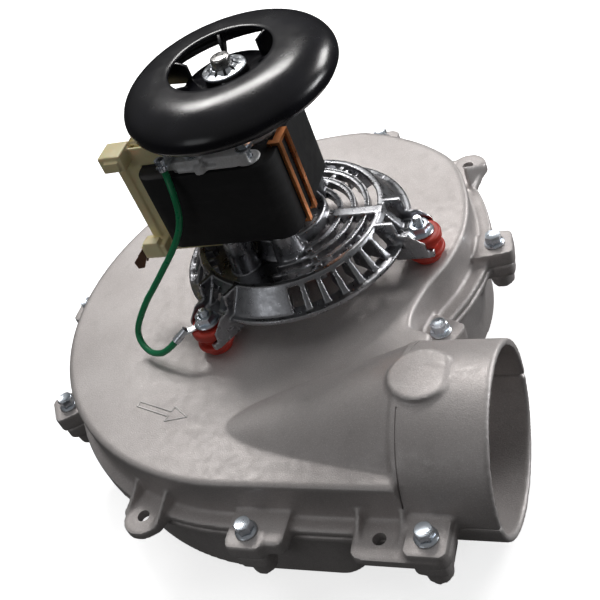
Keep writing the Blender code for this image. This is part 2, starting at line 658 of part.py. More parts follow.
def shading_coils():
    for number, (band, y) in enumerate(SHADING_BANDS, 1):
        wraps, inner_x = shading_limits(band, y)
        if wraps:
            x = (inner_x + GAP, STACK_X[1] + GAP + SHADING_T)
        else:
            x = (WINDOW_X - GAP - SHADING_T, inner_x - GAP)
        z = (STACK_Z[0] - GAP - SHADING_T, STACK_Z[1] + GAP + SHADING_T)
        band_y = (y - SHADING_W / 2.0, y + SHADING_W / 2.0)
        coil = block(f"shading_coil_{number}", x, band_y, z)
        window = block(f"shading_window_{number}", (x[0] + SHADING_T, x[1] - SHADING_T),
                       (band_y[0] - 2.0, band_y[1] + 2.0), (z[0] + SHADING_T, z[1] - SHADING_T))
        paint(cut(coil, window), *COPPER)


def core_bar_and_coil():
    """The lamination bar that closes the frame, its bobbin and its winding."""
    bar_half = ARM_INNER_Y - GAP
    paint(block("core_bar", BAR_X, (-bar_half, bar_half), STACK_Z), *LAMINATION)
    inner_x = (BAR_X[0] - GAP, BAR_X[1] + GAP)
    inner_z = (STACK_Z[0] - GAP, STACK_Z[1] + GAP)
    tube_t = 1.2
    flange_y = FLANGE_Y
    bobbin = block("coil_bobbin", (inner_x[0] - tube_t, inner_x[1] + tube_t), (-flange_y, flange_y),
                   (inner_z[0] - tube_t, inner_z[1] + tube_t))
    coil_x = (inner_x[0] - COIL_BUILD, inner_x[1] + COIL_BUILD)
    coil_z = (inner_z[0] - COIL_BUILD + 1.0, inner_z[1] + COIL_BUILD - 1.0)
    for name, low, high in (("front", -flange_y, FLANGE_T - flange_y), ("rear", flange_y - FLANGE_T, flange_y)):
        join(bobbin, block(f"bobbin_flange_{name}", (coil_x[0] - 2.5, coil_x[1] + 0.6), (low, high),
                           (coil_z[0] - 1.0, coil_z[1] + 1.0)))
    join(bobbin, block("terminal_housing", (-60.0, -48.5), (-24.0, -12.0), (140.0, 148.5)),
         block("terminal_foot", (-62.5, -49.5), (-24.0, -15.2), (92.0, 99.5)))
    cut(bobbin, block("bobbin_bore", inner_x, (-40.0, 40.0), inner_z))
    paint(bobbin, *NYLON)
    turn_y = flange_y - FLANGE_T - GAP
    coil = block("coil_winding", coil_x, (-turn_y, turn_y), coil_z)
    bevel = coil.modifiers.new("bevel", "BEVEL")
    bevel.width = 4.0 * MM
    bevel.segments = 3
    inner = block("coil_space", (inner_x[0] - tube_t - GAP, inner_x[1] + tube_t + GAP), (-40.0, 40.0),
                  (inner_z[0] - tube_t - GAP, inner_z[1] + tube_t + GAP))
    cut(coil, inner, block("coil_notch", (-70.0, -48.0), (-24.5, -11.5), (138.0, 160.0)))
    paint(coil, *TAPE)


def spade_terminals():
    """Two brown blades that lean out of the bobbin's foot, one behind the other."""
    outline = [(-62.8, 97.0), (-62.8, 92.5), (-67.0, 86.0), (-70.5, 85.6), (-71.0, 89.4)]
    for number, y in enumerate((-22.0, -17.5), 1):
        blade = flat(f"spade_terminal_{number}", outline, (-0.4, 0.4))
        blade.rotation_euler = (math.radians(90.0), 0.0, 0.0)
        blade.location = (0.0, y * MM, 0.0)
        paint(blade, *TERMINAL)


def upper_bracket():
    """Cast end bracket with the top bearing, on four feet over the stack bolts."""
    foot_z = STACK_Z[1] + GAP
    body = turned("upper_bracket", [(13.0, 148.0), (14.5, 146.5), (14.5, 141.0), (8.6, 141.0), (8.6, 148.0)], 24)
    join(body, block("upper_bar_left", (-21.0, -13.0), (-25.0, 25.0), (foot_z + 1.6, 143.0)),
         block("upper_bar_right", (2.0, 10.0), (-25.0, -12.0), (foot_z + 1.6, 143.0)),
         block("upper_bar_rear", (2.0, 10.0), (12.0, 25.0), (foot_z + 1.6, 143.0)),
         block("upper_tie", (-16.0, -12.0), (-6.0, 6.0), (foot_z + 2.0, 143.0)),
         block("ground_tab", (-31.0, -20.0), (-25.5, -17.2), (foot_z + 1.9, 143.0)))
    join(body, *[rod(f"upper_foot_{n}", x, y, (foot_z, 143.0), 4.6, 12) for n, (x, y) in enumerate(BOLT_PLACES, 1)])
    cut(body, rods("upper_bolt_holes", BOLT_PLACES, (130.0, 150.0), BOLT_R + GAP + 0.1, 12))
    return paint(body, *DIE_CAST)


def stack_bolts():
    """Long screws that clamp both brackets to the stack."""
    head_z = 143.0 + GAP
    profile = [(0.0, head_z + 0.8), (3.9, head_z + 0.6), (3.9, head_z), (BOLT_R, head_z), (BOLT_R, 90.5),
               (0.0, 90.5)]
    for number, (x, y) in enumerate(BOLT_PLACES, 1):
        bolt = turned(f"stack_bolt_{number}", profile, 14, closed=False, at=(x, y))
        join(bolt, hex_head(f"bolt_hex_{number}", x, y, (head_z + 0.4, head_z + 3.0), 3.2))
        paint(bolt, *ZINC)


def bearings():
    inner = SHAFT_R + GAP + 0.1
    for name, low, high, outer in (("lower_bearing", 81.0, 92.0, 9.0), ("upper_bearing", 139.5, 148.0, 8.3)):
        ring = [(outer, high), (outer, low), (inner, low), (inner, high)]
        paint(turned(name, ring, 16), *BRONZE)


def shaft_and_rotor():
    top = SHAFT_Z[1]
    paint(turned("shaft", [(0.0, top), (2.8, top - 0.3), (SHAFT_R, top - 1.4), (SHAFT_R, SHAFT_Z[0] + 0.8),
                           (SHAFT_R - 0.8, SHAFT_Z[0]), (0.0, SHAFT_Z[0])], 24, closed=False), *STEEL)
    inner = SHAFT_R + GAP
    low, high = STACK_Z
    paint(turned("rotor_core", [(ROTOR_R, high), (ROTOR_R, low), (inner, low), (inner, high)], 28), *STEEL)
    for name, z0, z1 in (("rotor_ring_lower", low - 4.0, low - GAP), ("rotor_ring_upper", high + GAP, 138.9)):
        paint(turned(name, [(ROTOR_R - 0.4, z1), (ROTOR_R - 0.4, z0), (8.9, z0), (8.9, z1)], 24), *ALUMINIUM)


def slinger():
    """Small disc that throws heat and drips off the shaft between the scroll and the motor."""
    inner = SHAFT_R + GAP
    paint(turned("heat_slinger", [(7.0, 71.5), (7.0, 67.0), (17.0, 66.4), (17.0, 65.4), (inner, 65.4), (inner, 71.5)],
                 24), *GALVANISED)
    paint(turned("shaft_seal", [(11.0, 63.0), (11.0, PLATE_Z + GAP), (SHAFT_R + 0.4, PLATE_Z + GAP),
                                (SHAFT_R + 0.4, 63.0)], 16), *SILICONE)


def impeller():
    """Radial wheel: back plate, blades and inlet ring in one piece, on a hub."""
    low, high = IMPELLER_Z
    wheel = turned("impeller", [(IMPELLER_R, high), (IMPELLER_R, high - 1.6), (9.6, high - 1.6), (9.6, high)], 36)
    inlet_ring = turned("impeller_inlet_ring", [(IMPELLER_R, low + 1.4), (IMPELLER_R, low), (INLET_R, low),
                                                (INLET_R, low + 1.4)], 36)
    blades = []
    for number in range(BLADES):
        blades.append(((40.0, 0.0, (low + high) / 2.0), (23.0, 1.6, high - low - 1.4), 360.0 / BLADES * number))
    join(wheel, inlet_ring, blocks("impeller_blades", blades))
    paint(wheel, *GALVANISED)
    inner = SHAFT_R + GAP
    paint(turned("impeller_hub", [(9.3, high + 3.0), (9.3, high - 18.0), (inner, high - 18.0),
                                  (inner, high + 3.0)], 20), *STEEL)


def cooling_fan():
    """Domed shroud over radial blades on a hub disc, moulded in one piece."""
    outer = [(FAN_EYE_R, FAN_TOP_Z), (30.0, FAN_TOP_Z - 0.3), (37.0, FAN_TOP_Z - 1.9), (42.0, FAN_TOP_Z - 4.9),
             (44.8, FAN_TOP_Z - 8.8), (FAN_R, FAN_MID_Z - 0.5), (43.6, FAN_MID_Z - 2.6)]
    inner = [(42.5, FAN_MID_Z - 2.4), (43.6, FAN_MID_Z - 0.4), (43.3, FAN_TOP_Z - 9.3), (40.9, FAN_TOP_Z - 6.0),
             (36.4, FAN_TOP_Z - 3.4), (30.0, FAN_TOP_Z - 1.9), (FAN_EYE_R, FAN_TOP_Z - 1.6)]
    fan = turned("cooling_fan", outer + inner, 36)
    disc = turned("fan_disc", [(FAN_DISC_R, 162.6), (FAN_DISC_R, 161.2), (9.0, 161.0), (9.0, 151.5),
                               (SHAFT_R + GAP, 151.5), (SHAFT_R + GAP, 166.0), (8.5, 166.0), (9.0, 162.6)], 24)
    blades = []
    for number in range(FAN_BLADES):
        blades.append(((30.5, 0.0, 166.4), (27.0, 1.2, 10.0), FIRST_BLADE + 360.0 / FAN_BLADES * number))
    join(fan, disc, cut(blocks("fan_blades", blades), turned("blade_trim", blade_trim_profile(), 36)))
    return paint(fan, *BLACK_PLASTIC)


def blade_trim_profile():
    """Ring outside the shroud's middle surface, so that the blades end inside the shroud."""
    return [(60.0, 180.0), (60.0, 150.0), (43.1, 150.0), (43.1, FAN_MID_Z - 2.5), (44.3, FAN_MID_Z - 0.5),
            (44.0, FAN_TOP_Z - 9.0), (41.5, FAN_TOP_Z - 5.4), (36.7, FAN_TOP_Z - 2.6), (30.0, FAN_TOP_Z - 1.0),
            (FAN_EYE_R + 1.0, FAN_TOP_Z - 0.7), (21.0, 180.0)]


def retainer():
    """Push nut that holds the cooling fan on the shaft."""
    z = 166.0 + GAP
    inner = SHAFT_R + GAP
    paint(turned("fan_retainer", [(5.0, z + 2.6), (7.0, z + 0.9), (9.3, z + 1.0), (9.3, z), (inner + 1.0, z),
                                  (inner, z + 2.4)], 22), *ZINC)


def slanted_rod(name, start, end, radius, sides=12):
    """A cylinder between two points."""
    start, end = Vector(start), Vector(end)
    along = end - start
    bm = bmesh.new()
    matrix = (Matrix.Translation((start + end) / 2.0 * MM)
              @ along.to_track_quat("Z", "Y").to_matrix().to_4x4())
    bmesh.ops.create_cone(bm, cap_ends=True, segments=sides, depth=along.length * MM,
                          radius1=radius * MM, radius2=radius * MM, matrix=matrix)
    return from_bmesh(name, bm)


def wire_terminals():
    """A flag terminal under the upper bracket's tab screw, and a ring terminal on a mount stud."""
    x, y, z = WIRE_ROUTE[0]
    flag = block("wire_terminal_top", (x - 2.5, x + 2.5), (y - 1.0, -18.0), (143.0 + GAP, 143.0 + GAP + LUG_T))
    join(flag, rod("wire_barrel_top", x, y, (z + 0.6, z + 6.2), 2.1, 12))
    paint(flag, *ZINC)
    x, y = mount_places()[WIRED_MOUNT - 1]
    end = Vector(WIRE_ROUTE[-1])
    heading = math.degrees(math.atan2(end.y - y, end.x - x))
    z = (GROMMET_TOP_Z + GAP, GROMMET_TOP_Z + GAP + LUG_T)
    ring = rod("wire_terminal_ring", x, y, z, 4.6, 20)
    turn = math.radians(heading)
    neck = Vector((x + 10.0 * math.cos(turn), y + 10.0 * math.sin(turn), z[1] + 0.9))
    back = (neck - end).normalized()
    join(ring, flat("ring_neck", pad_outline(x, y, heading, -3.0, 11.0, 1.6, 0.5), z),
         slanted_rod("ring_barrel", end + back * GAP, neck, 1.7))
    cut(ring, rod("ring_hole", x, y, (70.0, 80.0), STUD_R + GAP, 20))
    paint(ring, *ZINC)


def ground_wire():
    """Green wire held at both ends, on a smooth curve through its route."""
    points = spline_through(WIRE_ROUTE, 6)
    step = (len(points) - 1) / (WIRE_POINTS - 1)
    curve = bpy.data.curves.new("ground_wire", "CURVE")
    curve.dimensions = "3D"
    curve.bevel_depth = WIRE_R * MM
    curve.bevel_resolution = 2
    curve.use_fill_caps = True
    spline = curve.splines.new("POLY")
    chosen = [points[round(i * step)] for i in range(WIRE_POINTS)]
    spline.points.add(len(chosen) - 1)
    for point, (x, y, z) in zip(spline.points, chosen):
        point.co = (x * MM, y * MM, z * MM, 1.0)
    wire = place("ground_wire", curve)
    paint(wire, *WIRE_GREEN)


def main():
    upper_housing()
    lower_housing()
    housing_screws()
    motor_mounts()
    motor_bracket()
    stator_stack()
    shading_coils()
    core_bar_and_coil()
    spade_terminals()
    upper_bracket()
    stack_bolts()
    bearings()
    shaft_and_rotor()
    slinger()
    impeller()
    cooling_fan()
    retainer()
    wire_terminals()
    ground_wire()


main()
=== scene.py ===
"""Looks of the combustion fan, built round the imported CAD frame."""

import json
import math

import bmesh
import bpy
import numpy as np
from mathutils import Matrix, Vector


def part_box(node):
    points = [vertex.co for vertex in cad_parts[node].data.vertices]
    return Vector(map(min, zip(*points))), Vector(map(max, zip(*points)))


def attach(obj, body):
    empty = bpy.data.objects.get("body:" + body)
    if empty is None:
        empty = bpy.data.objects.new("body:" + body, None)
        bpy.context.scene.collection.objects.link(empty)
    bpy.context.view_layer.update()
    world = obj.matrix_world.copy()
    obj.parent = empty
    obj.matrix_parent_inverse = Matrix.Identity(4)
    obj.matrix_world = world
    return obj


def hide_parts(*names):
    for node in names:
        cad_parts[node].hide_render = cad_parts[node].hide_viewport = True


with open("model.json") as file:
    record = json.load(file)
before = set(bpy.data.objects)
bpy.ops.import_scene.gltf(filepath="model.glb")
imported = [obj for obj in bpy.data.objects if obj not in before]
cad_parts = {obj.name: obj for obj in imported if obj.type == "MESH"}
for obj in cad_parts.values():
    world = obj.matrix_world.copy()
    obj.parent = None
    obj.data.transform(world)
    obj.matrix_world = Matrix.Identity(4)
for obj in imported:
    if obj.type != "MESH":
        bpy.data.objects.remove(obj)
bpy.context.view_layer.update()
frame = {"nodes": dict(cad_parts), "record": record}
NODES = frame["nodes"]
COLLECTION = bpy.context.scene.collection
MM = 0.001
GAP = 0.3

# The motor axis in plan. Lengths below are millimetres from this axis and from the base.
SHAFT_LOW, SHAFT_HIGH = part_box("shaft")
AXIS = Vector(((SHAFT_LOW.x + SHAFT_HIGH.x) / 2.0, (SHAFT_LOW.y + SHAFT_HIGH.y) / 2.0, 0.0))
TO_FRAME = Matrix.Translation(AXIS) @ Matrix.Scale(MM, 4)


def spot(x, y, z):
    """A point in the frame, in metres."""
    return TO_FRAME @ Vector((x, y, z))


# ---- camera
CAMERA_PLACE = (182.3, -317.49, 343.37)
CAMERA_RIGHT = (0.9020, 0.2719, -0.3355)
CAMERA_FORWARD = (-0.4297, 0.6410, -0.6360)
SENSOR_MM = 36.0
LENS_MM = 60.206
LENS_SHIFT = (0.0466, 0.0277)


def camera():
    """Camera that looks down on the fan from the front right, rolled a little."""
    right = Vector(CAMERA_RIGHT).normalized()
    forward = Vector(CAMERA_FORWARD)
    forward = (forward - right * forward.dot(right)).normalized()
    up = right.cross(forward)
    data = bpy.data.cameras.new("camera")
    data.sensor_width = SENSOR_MM
    data.lens = LENS_MM
    data.shift_x, data.shift_y = LENS_SHIFT
    data.clip_start = 0.01
    thing = bpy.data.objects.new("camera", data)
    turn = Matrix((right, up, -forward)).transposed().to_4x4()
    thing.matrix_world = Matrix.Translation(spot(*CAMERA_PLACE)) @ turn
    COLLECTION.objects.link(thing)
    bpy.context.scene.camera = thing


camera()


# ---- lights
LIGHT_TARGET = (0.0, 0.0, 0.08)
# Name, place and size in metres, power in watts, colour, and whether reflections show it.
LIGHTS = (
    ("back_strip", (-0.36, 0.76, 1.06), (0.62, 0.20), 7.2, (1.0, 0.985, 0.965), True),
    ("right_panel", (0.98, 0.34, 0.20), (0.34, 0.22), 2.8, (0.97, 0.985, 1.0), True),
    ("right_back_panel", (0.66, 0.78, 0.52), (0.45, 0.28), 5.0, (1.0, 0.99, 0.98), True),
    ("overhead", (-0.30, 0.15, 1.40), (0.90, 0.90), 3.4, (1.0, 1.0, 1.0), False),
    ("front_low", (-0.36, -0.88, 0.42), (0.40, 0.30), 0.4, (0.96, 0.98, 1.0), True),
)
SKY_HEIGHTS = (-0.05, 0.75)
SKY_STRENGTHS = (0.025, 0.20)


def area_light(name, place, size, power, colour, glossy):
    data = bpy.data.lights.new(name, "AREA")
    data.energy = power
    data.color = colour
    data.shape = "RECTANGLE"
    data.size, data.size_y = size
    thing = bpy.data.objects.new(name, data)
    away = Vector(place) - Vector(LIGHT_TARGET)
    thing.rotation_euler = away.to_track_quat("Z", "Y").to_euler()
    thing.location = place
    thing.visible_camera = False
    thing.visible_glossy = glossy
    COLLECTION.objects.link(thing)


def set_range(node, low, high, to_low, to_high):
    for socket, number in zip(("From Min", "From Max", "To Min", "To Max"), (low, high, to_low, to_high)):
        node.inputs[socket].default_value = number


def studio():
    """Soft panels, and a white sky that is dim at the horizon and brighter overhead."""
    for light in LIGHTS:
        area_light(*light)
    world = bpy.data.worlds.new("studio")
    world.use_nodes = True
    nodes, links = world.node_tree.nodes, world.node_tree.links
    height = nodes.new("ShaderNodeSeparateXYZ")
    links.new(nodes.new("ShaderNodeTexCoord").outputs["Generated"], height.inputs["Vector"])
    ramp = nodes.new("ShaderNodeMapRange")
    links.new(height.outputs["Z"], ramp.inputs["Value"])
    set_range(ramp, *SKY_HEIGHTS, *SKY_STRENGTHS)
    links.new(ramp.outputs["Result"], nodes["Background"].inputs["Strength"])
    nodes["Background"].inputs["Color"].default_value = (1.0, 1.0, 1.0, 1.0)
    bpy.context.scene.world = world
    bpy.context.scene.view_settings.view_transform = "Standard"


studio()


# ---- materials
MIX_FIRST, MIX_SECOND, MIX_RESULT = 6, 7, 2  # the colour sockets of a Mix node
EDGE_RANGE = (0.52, 0.62)  # pointiness at which the edge wear and painted edge highlight start, and are full


class Surface:
    """A Principled material with short helpers for its nodes. Coordinates are object metres."""

    def __init__(self, name, metallic=0.0, **fixed):
        self.material = bpy.data.materials.new(name)
        self.material.use_nodes = True
        self.nodes = self.material.node_tree.nodes
        self.links = self.material.node_tree.links
        self.shader = self.nodes["Principled BSDF"]
        self.place = self.nodes.new("ShaderNodeTexCoord").outputs["Object"]
        self.shader.inputs["Metallic"].default_value = metallic
        self.normal = None
        for socket, value in fixed.items():
            self.shader.inputs[socket.replace("_", " ")].default_value = value

    def link(self, value, socket):
        """Join a node's output to a socket, or set the socket to a colour or a number."""
        if hasattr(value, "is_output"):
            self.links.new(value, socket)
        elif isinstance(value, tuple):
            socket.default_value = (*value, 1.0)
        else:
            socket.default_value = value

    def noise(self, per_metre, detail=2.0, stretch=None, rough=0.5):
        node = self.nodes.new("ShaderNodeTexNoise")
        node.inputs["Scale"].default_value = per_metre
        node.inputs["Detail"].default_value = detail
        node.inputs["Roughness"].default_value = rough
        source = self.place
        if stretch:
            mapping = self.nodes.new("ShaderNodeMapping")
            mapping.inputs["Scale"].default_value = stretch
            self.links.new(source, mapping.inputs["Vector"])
            source = mapping.outputs["Vector"]
        self.links.new(source, node.inputs["Vector"])
        return node.outputs["Fac"]

    def cells(self, per_metre, output="Distance"):
        node = self.nodes.new("ShaderNodeTexVoronoi")
        node.inputs["Scale"].default_value = per_metre
        self.links.new(self.place, node.inputs["Vector"])
        return node.outputs[output]

    def bands(self, per_metre, direction, distortion=0.0):
        node = self.nodes.new("ShaderNodeTexWave")
        node.bands_direction = direction
        node.inputs["Scale"].default_value = per_metre
        node.inputs["Distortion"].default_value = distortion
        self.links.new(self.place, node.inputs["Vector"])
        return node.outputs["Fac"]

    def remap(self, value, low, high, to_low, to_high):
        node = self.nodes.new("ShaderNodeMapRange")
        self.links.new(value, node.inputs["Value"])
        set_range(node, low, high, to_low, to_high)
        return node.outputs["Result"]

    def mix(self, factor, first, second):
        node = self.nodes.new("ShaderNodeMix")
        node.data_type = "RGBA"
        self.link(factor, node.inputs["Factor"])
        self.link(first, node.inputs[MIX_FIRST])
        self.link(second, node.inputs[MIX_SECOND])
        return node.outputs[MIX_RESULT]

    def mottled(self, first, second, per_metre, detail, low=0.35):
        """Two tones in soft patches."""
        return self.mix(self.remap(self.noise(per_metre, detail), low, 0.7, 0.0, 1.0), first, second)

    def edge_wear_and_highlight(self, colour, strength, tint):
        """The colour, with a tint along raised edges: partly edge wear, partly a painted edge highlight."""
        pointiness = self.nodes.new("ShaderNodeNewGeometry").outputs["Pointiness"]
        return self.mix(self.remap(pointiness, *EDGE_RANGE, 0.0, strength), colour, tint)

    def uneven(self, per_metre, smoothest, roughest, detail=2.0):
        """Roughness that wanders between two values."""
        return self.remap(self.noise(per_metre, detail), 0.3, 0.7, smoothest, roughest)

    def bump(self, height, distance_mm, strength):
        node = self.nodes.new("ShaderNodeBump")
        node.inputs["Distance"].default_value = distance_mm * MM
        node.inputs["Strength"].default_value = strength
        self.links.new(height, node.inputs["Height"])
        if self.normal is not None:
            self.links.new(self.normal, node.inputs["Normal"])
        self.normal = node.outputs["Normal"]

    def done(self, colour, roughness):
        self.link(colour, self.shader.inputs["Base Color"])
        self.link(roughness, self.shader.inputs["Roughness"])
        if self.normal is not None:
            self.links.new(self.normal, self.shader.inputs["Normal"])
        return self.material


def cast_metal(name, light, dark, rough, grain_mm, painted_glint, wear_and_sheen, metallic, skin_mm=0.16):
    """Cast metal: blotchy tone, grainy skin with tiny painted glints, and lighter edges that are partly wear,
    partly a painted highlight.
    """
    s = Surface(name, metallic)
    colour = s.mottled(dark, light, 28.0, 3.0, 0.3)
    stain = s.remap(s.noise(160.0, 4.0, rough=0.6), 0.55, 0.8, 0.0, 0.35)
    colour = s.mix(stain, colour, tuple(0.72 * c for c in dark))
    grain = s.noise(1000.0 / grain_mm, 2.0, rough=0.7)
    colour = s.mix(s.remap(grain, 0.35, 0.65, 0.0, 0.30), colour, tuple(0.6 * c for c in dark))
    # Painted glints: bright specks put into the colour at the cell centres.
    glint_specks = s.remap(s.cells(1600.0), 0.10, 0.22, painted_glint, 0.0)
    colour = s.mix(glint_specks, colour, (0.92, 0.91, 0.90))
    # Raised edges lighter: partly wear, partly a painted highlight.
    colour = s.edge_wear_and_highlight(colour, wear_and_sheen, (0.85, 0.84, 0.83))
    s.bump(s.noise(420.0, 3.0), 0.02, 0.3)
    s.bump(grain, skin_mm, 0.55)
    return s.done(colour, s.uneven(300.0, rough - 0.07, rough + 0.09, 3.0))


def zinc_plate():
    s = Surface("zinc_plate", 1.0)
    colour = s.mottled((0.60, 0.66, 0.73), (0.70, 0.75, 0.81), 220.0, 2.0, 0.3)
    s.bump(s.noise(1500.0), 0.01, 0.2)
    # Raised edges lighter: partly wear, partly a painted highlight.
    return s.done(s.edge_wear_and_highlight(colour, 0.5, (0.9, 0.92, 0.95)), s.uneven(300.0, 0.24, 0.36))


def ground_steel():
    s = Surface("ground_steel", 1.0)
    rings = s.noise(600.0, stretch=(1.0, 1.0, 12.0))
    s.bump(rings, 0.04, 0.4)
    return s.done(s.mix(rings, (0.5, 0.49, 0.48), (0.66, 0.65, 0.64)), s.remap(rings, 0.3, 0.7, 0.2, 0.38))


def galvanised_sheet():
    """Zinc spangle: flat cells, each with its own tone and gloss."""
    s = Surface("galvanised_sheet", 0.95)
    tone = s.nodes.new("ShaderNodeRGBToBW")
    s.links.new(s.cells(120.0, "Color"), tone.inputs["Color"])
    flake = tone.outputs["Val"]
    return s.done(s.mix(flake, (0.44, 0.45, 0.46), (0.66, 0.67, 0.67)), s.remap(flake, 0.0, 1.0, 0.3, 0.5))


def red_silicone():
    s = Surface("red_silicone", 0.0, Subsurface_Weight=0.08, Subsurface_Scale=0.002)
    colour = s.mottled((0.54, 0.045, 0.026), (0.38, 0.024, 0.015), 260.0, 3.0)
    s.bump(s.noise(1200.0), 0.08, 0.5)
    # Raised edges lighter: partly wear, partly a painted highlight.
    return s.done(s.edge_wear_and_highlight(colour, 0.4, (0.55, 0.10, 0.07)), s.uneven(400.0, 0.32, 0.5))


def black_laminations():
    """Thin sheets on edge under black varnish, a little dusty."""
    s = Surface("black_laminations", 0.0, Specular_IOR_Level=0.14)
    s.bump(s.bands(314.0, "Z"), 0.05, 0.3)
    s.bump(s.noise(900.0, 3.0), 0.04, 0.35)
    dust = s.remap(s.noise(90.0, 5.0, (1.0, 1.0, 3.0)), 0.52, 0.75, 0.0, 0.35)
    colour = s.mix(dust, (0.017, 0.017, 0.0175), (0.034, 0.034, 0.036))
    # Raised edges lighter: partly wear, partly a painted highlight.
    return s.done(s.edge_wear_and_highlight(colour, 0.35, (0.10, 0.10, 0.105)), s.uneven(200.0, 0.58, 0.74, 3.0))


def copper_strip():
    s = Surface("copper_strip", 1.0)
    s.bump(s.noise(900.0, stretch=(1.0, 1.0, 0.1)), 0.02, 0.3)
    return s.done(s.mottled((1.0, 0.41, 0.16), (0.92, 0.31, 0.10), 90.0, 3.0), s.uneven(160.0, 0.26, 0.38))


def cream_nylon():
    s = Surface("cream_nylon", 0.0, Subsurface_Weight=0.15, Subsurface_Scale=0.003)
    colour = s.mottled((0.86, 0.78, 0.48), (0.78, 0.68, 0.38), 70.0, 3.0)
    s.bump(s.noise(1500.0), 0.05, 0.4)
    # Raised edges lighter: partly wear, partly a painted highlight.
    return s.done(s.edge_wear_and_highlight(colour, 0.35, (0.88, 0.83, 0.62)), s.uneven(300.0, 0.36, 0.52))


def coil_tape():
    s = Surface("coil_tape")
    wraps = s.bands(90.0, "Y", 0.6)
    s.bump(wraps, 0.2, 0.5)
    return s.done(s.mix(wraps, (0.16, 0.12, 0.04), (0.34, 0.26, 0.08)), s.remap(wraps, 0.0, 1.0, 0.3, 0.5))


def black_moulding():
    """Glossy black plastic with faint smears and a few pale specks of dust."""
    s = Surface("black_moulding", 0.0, Coat_Weight=0.22, Coat_Roughness=0.2)
    colour = s.mottled((0.0055, 0.0055, 0.0078), (0.0095, 0.0095, 0.0135), 60.0, 4.0, 0.4)
    specks = s.remap(s.cells(900.0), 0.04, 0.09, 0.35, 0.0)
    s.bump(s.noise(1100.0, 3.0), 0.03, 0.35)
    return s.done(s.mix(specks, colour, (0.12, 0.12, 0.13)), s.uneven(150.0, 0.20, 0.28, 4.0))


def brown_terminal():
    s = Surface("brown_terminal", 0.6)
    return s.done(s.mix(s.noise(400.0, 3.0), (0.05, 0.022, 0.012), (0.16, 0.07, 0.035)),
                  s.uneven(500.0, 0.35, 0.6))


def sintered_bronze():
    s = Surface("sintered_bronze", 0.9)
    s.bump(s.noise(1800.0), 0.08, 0.6)
    return s.done(s.mix(s.noise(900.0, 3.0), (0.34, 0.21, 0.10), (0.52, 0.35, 0.17)),
                  s.uneven(700.0, 0.4, 0.6))


def green_insulation():
    s = Surface("green_insulation")
    s.bump(s.noise(1400.0), 0.04, 0.4)
    return s.done(s.mix(s.noise(200.0, 3.0), (0.008, 0.20, 0.075), (0.016, 0.29, 0.12)),
                  s.uneven(500.0, 0.26, 0.4))


def pale_floor():
    s = Surface("pale_floor", 0.0, Specular_IOR_Level=0.2, Emission_Color=(1.0, 1.0, 1.0, 1.0),
                Emission_Strength=0.72)
    return s.done(s.mix(s.noise(6.0), (0.90, 0.90, 0.90), (0.93, 0.93, 0.93)), 0.75)


# The record's material slots, and the finish of each.
FINISHES = {
    # In the castings the bright specks are painted glints, and the lighter edges are partly wear, partly a
    # painted highlight.
    "cast_housing": cast_metal("cast_aluminium", (0.62, 0.585, 0.575), (0.52, 0.485, 0.475), rough=0.46,
                               grain_mm=0.55, painted_glint=0.6, wear_and_sheen=0.45, metallic=0.45),
    "bracket_casting": cast_metal("bracket_casting", (0.46, 0.465, 0.49), (0.27, 0.274, 0.29), rough=0.30,
                                  grain_mm=0.9, painted_glint=0.12, wear_and_sheen=0.85, metallic=1.0, skin_mm=0.04),
    "end_casting": cast_metal("end_casting", (0.86, 0.86, 0.87), (0.64, 0.64, 0.645), rough=0.50,
                              grain_mm=0.6, painted_glint=0.3, wear_and_sheen=0.5, metallic=0.3),
    "zinc": zinc_plate(),
    "steel": ground_steel(),
    "galvanised": galvanised_sheet(),
    "silicone": red_silicone(),
    "laminations": black_laminations(),
    "copper": copper_strip(),
    "nylon": cream_nylon(),
    "coil_tape": coil_tape(),
    "fan_plastic": black_moulding(),
    "terminal": brown_terminal(),
    "bronze": sintered_bronze(),
    "wire_insulation": green_insulation(),
}
FLOOR_FINISH = pale_floor()


# ---- shape tools, in millimetres from the axis
def place(name, mesh):
    thing = bpy.data.objects.new(name, mesh)
    COLLECTION.objects.link(thing)
    return thing


def from_bmesh(name, bm):
    mesh = bpy.data.meshes.new(name)
    bm.to_mesh(mesh)
    bm.free()
    return place(name, mesh)


def settle(thing):
    """Apply the object's modifiers."""
    bpy.context.view_layer.update()
    mesh = bpy.data.meshes.new_from_object(thing.evaluated_get(bpy.context.evaluated_depsgraph_get()))
    thing.modifiers.clear()
    thing.data = mesh
    return thing


def combine(target, operation, operands):
    """Booleans with each operand, applied."""
    for operand in operands:
        modifier = target.modifiers.new(operation.lower(), "BOOLEAN")
        modifier.operation = operation
        modifier.solver = "MANIFOLD"
        modifier.object = operand
    settle(target)
    for operand in operands:
        bpy.data.objects.remove(operand, do_unlink=True)
    return target


def cut(target, *operands):
    return combine(target, "DIFFERENCE", operands)


def join(target, *operands):
    return combine(target, "UNION", operands)


def dress(thing, slot, crease):
    """Give a mesh its finish, smooth but for edges sharper than crease degrees."""
    thing.data.materials.clear()
    thing.data.materials.append(FINISHES[slot])
    thing.data.shade_smooth()
    thing.data.set_sharp_from_angle(angle=math.radians(crease))


def finish_piece(thing, slot, replaced=(), crease=40.0, body="housing"):
    """Take a piece from millimetres into the frame, give it its finish and body, and hide the CAD nodes it
    stands for.
    """
    thing.data.transform(TO_FRAME)
    dress(thing, slot, crease)
    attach(thing, body)
    if replaced:
        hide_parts(*replaced)


def soften(thing, voxel, passes, keep=1.0):
    """Die-cast look: rebuild the solid in small voxels and smooth every edge."""
    remesh = thing.modifiers.new("remesh", "REMESH")
    remesh.mode = "VOXEL"
    remesh.voxel_size = voxel
    smooth = thing.modifiers.new("smooth", "SMOOTH")
    smooth.factor = 0.5
    smooth.iterations = passes
    if keep < 1.0:
        fewer = thing.modifiers.new("fewer", "DECIMATE")
        fewer.ratio = keep
    return settle(thing)


